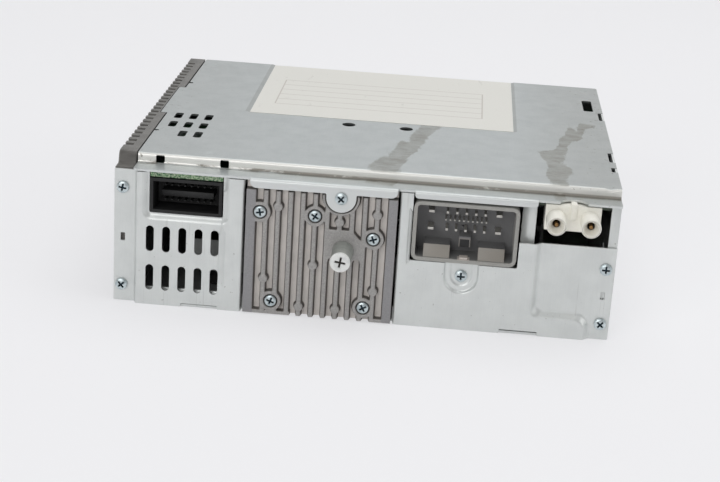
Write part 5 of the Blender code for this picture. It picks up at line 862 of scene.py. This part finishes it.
def left_panel_place(x, z):
    left, right, bottom = DISPLAY
    sunk = -PRESS_DEPTH * ease(x, *JOGGLE)
    mouth = rounded_box(x, z, left, right, bottom, ABOVE, 0.0008)
    sunk = sunk + DISH_DEPTH * (1 - ease(mouth, *DISH_RING))
    kept, back = fold_in(x, LEFT_PANEL_EDGE, 1)
    return kept, REAR + sunk + back, z


left_net = net(LEFT, LEFT_PANEL_EDGE + folded_length(FOLD_RADIUS), PANEL_LOW, PANEL_HIGH, PANEL_CELL)
trim(left_net, left_panel_gap)
shape(left_net, left_panel_place)
finished_sheet("rear_panel_left", left_net, SHEET)

# %% [markdown]
# # The right rear panel
# The right panel is pressed in two heights: a raised field behind the main socket steps down to the
# flange at the right, with a low raised strip along the foot. A round-bottomed dish under the socket
# takes the head of the screw that clamps the connector.

# %% Right panel
SOCKET = (0.01699, 0.05530, 0.0253)
ANTENNA_SILL = 0.03491
FIELD_RIGHT, STRIP_RIGHT, STRIP_TOP = 0.0610, 0.0806, 0.0071
JOGGLE_SLOPE = 0.0026
DISH_MIDDLE = 0.03568
DISH_HALF, DISH_BOTTOM, DISH_SINK = 0.0064, 0.0140, 0.0010
SEAT_HALF, SEAT_BOTTOM, SEAT_SINK = 0.0040, 0.0166, 0.0004


def right_panel_gap(x, z):
    gap = rounded_box(x, z, 0, RIGHT, PANEL_LOW, PANEL_HIGH, 0.0003)
    left, right, bottom = SOCKET
    gap = numpy.maximum(gap, -rounded_box(x, z, left, right, bottom, ABOVE, 0.0006))
    gap = numpy.maximum(gap, -rounded_box(x, z, right - 0.003, 0.2, ANTENNA_SILL, ABOVE, 0.0006))
    gap = numpy.maximum(gap, -rounded_box(x, z, 0.0508, 0.0646, -0.005, 0.0017, 0.0003))
    return numpy.maximum(gap, -rounded_box(x, z, 0.0858, 0.0874, 0.0154, 0.0184, 0.0002))


def right_panel_place(x, z):
    field = rounded_box(x, z, -0.1, FIELD_RIGHT, -0.1, 0.1, 0.001)
    strip = rounded_box(x, z, -0.1, STRIP_RIGHT, -0.1, STRIP_TOP, 0.0035)
    sunk = -PRESS_DEPTH * (1 - ease(joined(field, strip, 0.0030), 0, JOGGLE_SLOPE))
    dish = rounded_box(x, z, DISH_MIDDLE - DISH_HALF, DISH_MIDDLE + DISH_HALF, DISH_BOTTOM, ABOVE,
                       DISH_HALF - NUDGE)
    seat = rounded_box(x, z, DISH_MIDDLE - SEAT_HALF, DISH_MIDDLE + SEAT_HALF, SEAT_BOTTOM, ABOVE,
                       SEAT_HALF - NUDGE)
    sunk = sunk + DISH_SINK * (1 - ease(dish, -0.0009, 0)) + SEAT_SINK * (1 - ease(seat, -0.0005, 0))
    kept, back = fold_in(x, RIGHT_PANEL_EDGE, -1)
    return kept, REAR + sunk + back, z


right_net = net(RIGHT_PANEL_EDGE - folded_length(FOLD_RADIUS), RIGHT, PANEL_LOW, PANEL_HIGH, PANEL_CELL)
trim(right_net, right_panel_gap)
shape(right_net, right_panel_place)
finished_sheet("rear_panel_right", right_net, SHEET)

# %% [markdown]
# # The cast rear heat sink
# This is the piece that took a toolmaker most work: ten ribs with draft, five screw bosses with
# sunk seats, eight round ejector pads, a web round the locating pin whose grooves end in arches, and
# a rimmed seat for the cover's tab. Cast edges are round, so every rise is eased over a few tenths.

# %% Rear heat sink
SINK_LOW, SINK_HIGH = (Vector(corner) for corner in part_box("rear_heat_sink"))
SINK_CELL = 0.00024
CREST = 0.0025
SINK_SLAB = 0.0036
RIBS, RIB_FIRST, RIB_PITCH, RIB_HALF = 10, SINK_LOW.x + 0.0070, 0.00442, 0.0009
DRAFT = (-0.00022, 0.00036)
BORDERS = (SINK_LOW.x + 0.0035, SINK_HIGH.x - 0.0033)
SHELF = (0.0470, 0.0477)
FOOT = SINK_LOW.z + 0.0012
FOOT_OPEN = (-0.0250, 0.0040)
BOSSES = ((-0.03719, 0.03891), (-0.01751, 0.03891), (0.00358, 0.03189), (-0.03219, 0.00537),
          (0.00137, 0.00553))
BOSS_RADIUS, BOSS_HOLLOW, BOSS_SINK = 0.0039, 0.0026, 0.0012
PADS = ((1, 0.0413), (9, 0.0409), (6, 0.0372), (0, 0.0138), (4, 0.0202), (3, 0.0040), (6, 0.0040),
        (9, 0.0120))
PAD_RADIUS, PAD_RISE = 0.0017, 0.0002
PIN = (-0.00691, 0.0268)
WEB_DROP, WEB_RISE, WEB_CUT = 0.0045, 0.0078, 0.0044
WEB_RIBS = (5, 8)
TAB = (-0.00852, 0.0464)
TAB_RIM, TAB_SEAT, TAB_SINK = 0.0067, 0.0058, 0.0009


def rib_x(index):
    return RIB_FIRST + index * RIB_PITCH


def web_gap(x, z):
    low_z, high_z = PIN[1] - WEB_DROP, PIN[1] + WEB_RISE
    first, last = (rib_x(index) for index in WEB_RIBS)
    gap = rounded_box(x, z, first, last, low_z, high_z, 0.0002)
    gap = numpy.maximum(gap, (x - last + z - high_z + WEB_CUT) / math.sqrt(2))
    for index in range(*WEB_RIBS):
        arch = round_spot(x, z, (rib_x(index + 0.5), low_z), RIB_PITCH / 2 - RIB_HALF)
        gap = numpy.maximum(gap, -arch)
    return gap


def sink_place(x, z):
    nearest = numpy.clip(numpy.round((x - RIB_FIRST) / RIB_PITCH), 0, RIBS - 1)
    gap = numpy.abs(x - RIB_FIRST - nearest * RIB_PITCH) - RIB_HALF
    gap = numpy.minimum(gap, numpy.minimum(x - BORDERS[0], BORDERS[1] - x))
    foot = numpy.where((x < FOOT_OPEN[0]) | (x > FOOT_OPEN[1]), z - FOOT, 1)
    gap = joined(gap, foot, 0.0004)
    gap = joined(gap, web_gap(x, z), 0.0004)
    for centre in BOSSES:
        gap = joined(gap, round_spot(x, z, centre, BOSS_RADIUS), 0.0004)
    rise = 1 - ease(gap, *DRAFT)
    rim = 1 - ease(round_spot(x, z, TAB, TAB_RIM), *DRAFT)
    rise = numpy.maximum(rise, rim) * (1 - ease(z, *SHELF))
    sunk = -CREST * rise
    for index, up in PADS:
        pad = 1 - ease(round_spot(x, z, (rib_x(index), up), PAD_RADIUS), *DRAFT)
        sunk = numpy.minimum(sunk, -(CREST + PAD_RISE) * pad)
    for centre in BOSSES:
        sunk = sunk + BOSS_SINK * (1 - ease(round_spot(x, z, centre, BOSS_HOLLOW), -0.0002, 0.0001))
    seat = (1 - ease(round_spot(x, z, TAB, TAB_SEAT), -0.0002, 0.0001)) * (1 - ease(z, *SHELF))
    sunk = sunk * (1 - seat) + (TAB_SINK - CREST) * seat
    return x, REAR + sunk, z


sink_net = net(SINK_LOW.x, SINK_HIGH.x, SINK_LOW.z, SINK_HIGH.z, SINK_CELL)
shape(sink_net, sink_place)
sides = [edge for edge in sink_net.edges if edge.is_boundary]
made = bmesh.ops.extrude_edge_only(sink_net, edges=sides)["geom"]
for edge in sides:
    edge.smooth = False
for vert in made:
    if isinstance(vert, bmesh.types.BMVert):
        vert.co.y = REAR + SINK_SLAB
bmesh.ops.holes_fill(sink_net, edges=[edge for edge in sink_net.edges if edge.is_boundary], sides=0)
for face in sink_net.faces:
    face.smooth = True
rear_sink = add_object("rear_heat_sink_dressed", sink_net)
put_in_place(rear_sink, "rear_heat_sink")
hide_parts("rear_heat_sink")
print("rear heat sink:", len(rear_sink.data.polygons), "faces")

# %% [markdown]
# # The top cover
# One sheet makes the cover. It is cut flat, then folded along its rear: down for two flanges and a
# screwed tab, level for the ledge, up for the step, and level again for the top. The net is cut in
# its flat state, where a place along the sheet is a length from the flange's end, and the last step
# lays every point on the folded path. Vents, windows, notches and the label's recess come with it.

# %% Top cover
COVER_LEFT, FLANGE_FACE = (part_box("top_cover")[0][axis] + reach for axis, reach in ((0, 0.0027), (1, 0)))
FRONT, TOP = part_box("top_cover")[1][1:]
FLANGE_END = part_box("top_cover")[0][2]
LEDGE_TOP = TOP - 0.0035
STEP_Y = REAR + 0.0068
BENDS = (0.0012, 0.0007, 0.0012)
BEND_STEPS = 6
COVER_CELL = 0.00086
FINE_LENGTH, FINE_ROWS, COARSE_ROWS = 0.024, 70, 152


def folded_path(corners, radii):
    points = [corners[0]]
    for before, corner, after, radius in zip(corners, corners[1:], corners[2:], radii):
        back, ahead = (before - corner).normalized(), (after - corner).normalized()
        centre = corner + (back + ahead) * radius
        for step in range(BEND_STEPS + 1):
            angle = math.pi / 2 * step / BEND_STEPS
            points.append(centre - (ahead * math.cos(angle) + back * math.sin(angle)) * radius)
    return points + [corners[-1]]


cover_path = folded_path(
    [Vector(corner) for corner in (
        (FLANGE_FACE, FLANGE_END), (FLANGE_FACE, LEDGE_TOP), (STEP_Y, LEDGE_TOP), (STEP_Y, TOP),
        (FRONT, TOP))],
    BENDS,
)
path_lengths = [0.0]
for near_point, far_point in zip(cover_path, cover_path[1:]):
    path_lengths.append(path_lengths[-1] + (far_point - near_point).length)
COVER_LENGTH = path_lengths[-1]
LEDGE_START = path_lengths[BEND_STEPS + 1] - 0.0003
STEP_MIDDLE = (path_lengths[2 * BEND_STEPS + 2] + path_lengths[2 * BEND_STEPS + 3]) / 2
print("the cover's sheet is", round(COVER_LENGTH * 1000, 1), "mm long when flat")


def on_top(depth):
    return COVER_LENGTH - (FRONT - REAR - depth)


def up_flange(z):
    return z - FLANGE_END


RIGHT_NOTCHES = ((0.0281, 0.0334), (0.0410, 0.0530), (0.1010, 0.1130))
LEFT_NOTCHES = (0.0367, 0.1118)
VENT_FIRST, VENT_PITCH, VENT_ROW, VENT_ROW_PITCH = -0.07794, 0.00588, 0.0600, 0.0125
VENTS = 3
COVER_HOLES = (-0.0119, 0.0106)
HOLE_DEPTH, HOLE_RADIUS = 0.0656, 0.0026
WINDOWS = (-0.0749, -0.0517)
LABEL = (-0.0520, 0.0525, 0.0737)
LABEL_RECESS = 0.0003
DIMPLES = ((-0.0575, 0.0119), (-0.0778, 0.1472), (0.0840, 0.1500), (0.0860, 0.0080))


def cover_gap(x, u):
    gap = rounded_box(x, u, COVER_LEFT, RIGHT, LEDGE_START, COVER_LENGTH, 0.0008)
    gap = numpy.minimum(gap, rounded_box(x, u, -0.0857, -0.08, on_top(0.063), on_top(0.104), 0.0005))
    flange = rounded_box(x, u, -0.04099, 0.01129, up_flange(0.0479), on_top(0.02), 0.0022)
    tab = rounded_box(x, u, TAB[0] - 0.0053, TAB[0] + 0.0053, 0, on_top(0.02), 0.0053)
    gap = numpy.minimum(gap, joined(flange, tab, 0.0006))
    flange = rounded_box(x, u, 0.01739, 0.0606, up_flange(0.0487), on_top(0.02), 0.0012)
    gap = numpy.minimum(gap, flange)
    cuts = [round_spot(x, u, (0.07315, LEDGE_START - 0.0010), 0.0050)]
    for start, end in RIGHT_NOTCHES:
        cuts.append(rounded_box(x, u, RIGHT - 0.0022, 0.1, on_top(start), on_top(end), 0.0006))
    for start in LEFT_NOTCHES:
        cuts.append(rounded_box(x, u, -0.1, COVER_LEFT + 0.0016, on_top(start), on_top(start + 0.0016),
                                0.0003))
    for row in range(VENTS):
        for column in range(VENTS):
            if (row, column) != (VENTS - 1, 0):
                across = VENT_FIRST + column * VENT_PITCH
                along = on_top(VENT_ROW - row * VENT_ROW_PITCH)
                cuts.append(rounded_box(x, u, across - 0.0015, across + 0.0015, along - 0.0039,
                                        along + 0.0039, 0.0009))
    for across in COVER_HOLES:
        cuts.append(round_spot(x, u, (across, on_top(HOLE_DEPTH)), HOLE_RADIUS))
    for across in WINDOWS:
        cuts.append(rounded_box(x, u, across - 0.0016, across + 0.0016, STEP_MIDDLE - 0.0014,
                                STEP_MIDDLE + 0.0014, 0.0003))
    cuts.append(rounded_box(x, u, 0.0822, 0.0862, on_top(0.115), on_top(0.1325), 0.0006))
    for cut in cuts:
        gap = numpy.maximum(gap, -cut)
    return gap


def cover_place(x, u):
    y = numpy.interp(u, path_lengths, [point.x for point in cover_path])
    z = numpy.interp(u, path_lengths, [point.y for point in cover_path])
    left, right, near = LABEL
    recess = rounded_box(x, u, left - 0.0006, right + 0.0006, on_top(near) - 0.0006, 1, 0.0008)
    z = z - LABEL_RECESS * (1 - ease(recess, -0.0003, 0.0003))
    for across, depth in DIMPLES:
        reach = numpy.hypot(x - across, (u - on_top(depth)) * 0.6)
        z = z - 0.0004 * (1 - ease(reach, 0.0002, 0.0022))
    return x, y, z


cover_net = net(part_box("top_cover")[0][0], RIGHT, 0, 1, COVER_CELL, FINE_ROWS + COARSE_ROWS)
fine_share = FINE_ROWS / (FINE_ROWS + COARSE_ROWS)
for vert in cover_net.verts:
    vert.co.y = numpy.interp(vert.co.y, (0, fine_share, 1), (0, FINE_LENGTH, COVER_LENGTH))
trim(cover_net, cover_gap)
shape(cover_net, cover_place)
finished_sheet("top_cover", cover_net, SHEET)

# %% [markdown]
# # Cross-head screws and the locating pin
# Twelve screws hold the case together. Each head is a low dome turned on a lathe, then punched: the
# cross is marked on the crown by four pairs of cuts, and its arms are pushed in and narrowed, as the
# punch's taper does. The pin beside them is turned too, and its own screw has a flat, pale head.

# %% Turned forms and the cross punch
TURN_STEPS = 32


def spun(profile):
    form = bmesh.new()
    corners = [form.verts.new((radius, y, 0)) for radius, y in profile]
    edges = [form.edges.new(pair) for pair in zip(corners, corners[1:])]
    bmesh.ops.spin(
        form, geom=corners + edges, cent=(0, 0, 0), axis=(0, 1, 0), angle=math.tau,
        steps=TURN_STEPS, use_merge=True,
    )
    bmesh.ops.remove_doubles(form, verts=form.verts, dist=MERGE)
    bmesh.ops.recalc_face_normals(form, faces=form.faces)
    return form


def punch_cross(form, width, reach, depth):
    sunk = form.verts.layers.float.new("sunk")
    for axis in (0, 2):
        for offset in (-reach, -width, width, reach):
            normal = [float(other == axis) for other in range(3)]
            place = [offset * share for share in normal]
            bmesh.ops.bisect_plane(
                form, geom=form.verts[:] + form.edges[:] + form.faces[:], plane_co=place, plane_no=normal
            )
    arms = []
    for face in form.faces:
        middle = face.calc_center_median()
        near, far = sorted((abs(middle.x), abs(middle.z)))
        if face.normal.y < -0.5 and near < width and far < reach:
            arms.append(face)
    pushed = bmesh.ops.extrude_face_region(form, geom=arms)["geom"]
    floor = [item for item in pushed if isinstance(item, bmesh.types.BMVert)]
    bmesh.ops.delete(form, geom=arms, context="FACES")
    for vert in floor:
        vert[sunk] = 1.0
    bmesh.ops.scale(form, verts=floor, vec=(0.62, 1, 0.62))
    bmesh.ops.translate(form, verts=floor, vec=(0, depth, 0))


def finished_turning(node, form, centre, turn, slot=None, finish=None):
    bmesh.ops.rotate(form, verts=form.verts, cent=(0, 0, 0), matrix=Matrix.Rotation(turn, 3, "Y"))
    bmesh.ops.translate(form, verts=form.verts, vec=(centre.x, 0, centre.z))
    for face in form.faces:
        face.smooth = True
    for edge in form.edges:
        if edge.is_manifold and edge.calc_face_angle(0) > SHARP_ANGLE:
            edge.smooth = False
    piece = add_object(node + "_dressed", form)
    if finish:
        piece.data.materials.append(finish)
    put_in_place(piece, node, slot)
    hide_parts(node)
    return piece


# %% Screws
HEAD_HEIGHT = 0.0011
CROSS = (0.00036, 0.00150, 0.0008)
TURN_STEP = 0.7
OTHER_SCREWS = ("lead_screw", "locating_pin_screw")
SCREWS = [node for node in frame["nodes"] if "screw" in node and node not in OTHER_SCREWS]


def screw_profile(radius, face, end):
    crown = ((0, 0), (0.45, 0.03), (0.75, 0.14), (0.93, 0.38), (1, 0.7), (1, 1), (0.5, 1))
    points = [(radius * across, face + HEAD_HEIGHT * share) for across, share in crown]
    return points + [(radius / 2, end), (0, end)]


for number, node_name in enumerate(sorted(SCREWS)):
    corner, far_corner = (Vector(place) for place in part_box(node_name))
    screw = spun(screw_profile((far_corner.x - corner.x) / 2, corner.y, far_corner.y))
    punch_cross(screw, *CROSS)
    finished_turning(node_name, screw, (corner + far_corner) / 2, number * TURN_STEP)
print("screws:", len(SCREWS))


# %% Locating pin and its screw
def pale_steel():
    # Its last colour is painted shade in the punched cross.
    return plated(
        "pale_steel", colour(232, 233, 230), colour(204, 206, 204), 0.42, 0.3, colour(52, 48, 44)
    )


corner, far_corner = (Vector(place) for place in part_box("locating_pin"))
pin_radius = (far_corner.x - corner.x) / 2
pin_form = spun([
    (0, corner.y), (pin_radius * 0.86, corner.y), (pin_radius * 0.92, corner.y + 0.0004),
    (pin_radius * 0.97, far_corner.y - 0.0010), (pin_radius, far_corner.y - 0.0004),
    (pin_radius, far_corner.y), (0, far_corner.y),
])
finished_turning("locating_pin", pin_form, (corner + far_corner) / 2, 0)
corner, far_corner = (Vector(place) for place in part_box("locating_pin_screw"))
head_radius = (far_corner.x - corner.x) / 2
head_form = spun([
    (0, corner.y), (head_radius * 0.86, corner.y), (head_radius, corner.y + 0.0002),
    (head_radius, corner.y + 0.0009), (0.0015, corner.y + 0.0009), (0.0015, far_corner.y),
    (0, far_corner.y),
])
punch_cross(head_form, 0.00042, 0.0022, 0.0007)
finished_turning("locating_pin_screw", head_form, (corner + far_corner) / 2, 0.15, finish=pale_steel())
print("the pin's radius is", round(pin_radius * 1000, 2), "mm")

# %% [markdown]
# # The mouths of the aerial sockets
# Each barrel is bored wide at its mouth, and a funnel inside leads the plug to a small brass socket.
# The funnel is a turned cup: its profile starts on the axis at the hole's floor, climbs the cone to
# the mouth and comes back behind, so that the cup is closed.

# %% Aerial funnels
FUNNEL = ((0, -0.0815), (0.0013, -0.0815), (0.0013, -0.0844), (0.0014, -0.0846), (0.00235, -0.0870),
          (0.00262, -0.0877), (0.00262, -0.0810), (0, -0.0810))
for number, side in enumerate((-1, 1), start=1):
    funnel = spun(FUNNEL)
    place = (BARREL_MIDDLE + side * BARREL_SPREAD, 0, BARREL_HEIGHT)
    bmesh.ops.translate(funnel, verts=funnel.verts, vec=place)
    for face in funnel.faces:
        face.smooth = True
    for edge in funnel.edges:
        edge.smooth = edge.calc_face_angle(0) < SHARP_ANGLE
    put_in_place(add_object(f"antenna_funnel_{number}", funnel), "antenna_connector")
print("aerial funnels: 2")

# %% [markdown]
# # The tray's foot lips
# The tray's floor runs on under the two panels as a short lip, which shows in the notch at the foot
# of each panel. The lip is a plain strip of sheet, set just behind the panel's outer face.

# %% Foot lips
LIP_PLACES = ((-0.0652, -0.0513), (0.0506, 0.0648))
LIP_FRONT, LIP_HEIGHT = REAR - 0.0011, 0.0010
for number, (left, right) in enumerate(LIP_PLACES, start=1):
    lip = bmesh.new()
    bmesh.ops.create_cube(lip, size=1.0)
    bmesh.ops.scale(lip, verts=lip.verts, vec=(right - left, 0.0016, LIP_HEIGHT - NUDGE))
    middle = ((left + right) / 2, LIP_FRONT + 0.0008, LIP_HEIGHT / 2)
    bmesh.ops.translate(lip, verts=lip.verts, vec=middle)
    put_in_place(soften(add_object(f"foot_lip_{number}", lip)), "chassis_tray")
print("foot lips:", len(LIP_PLACES))
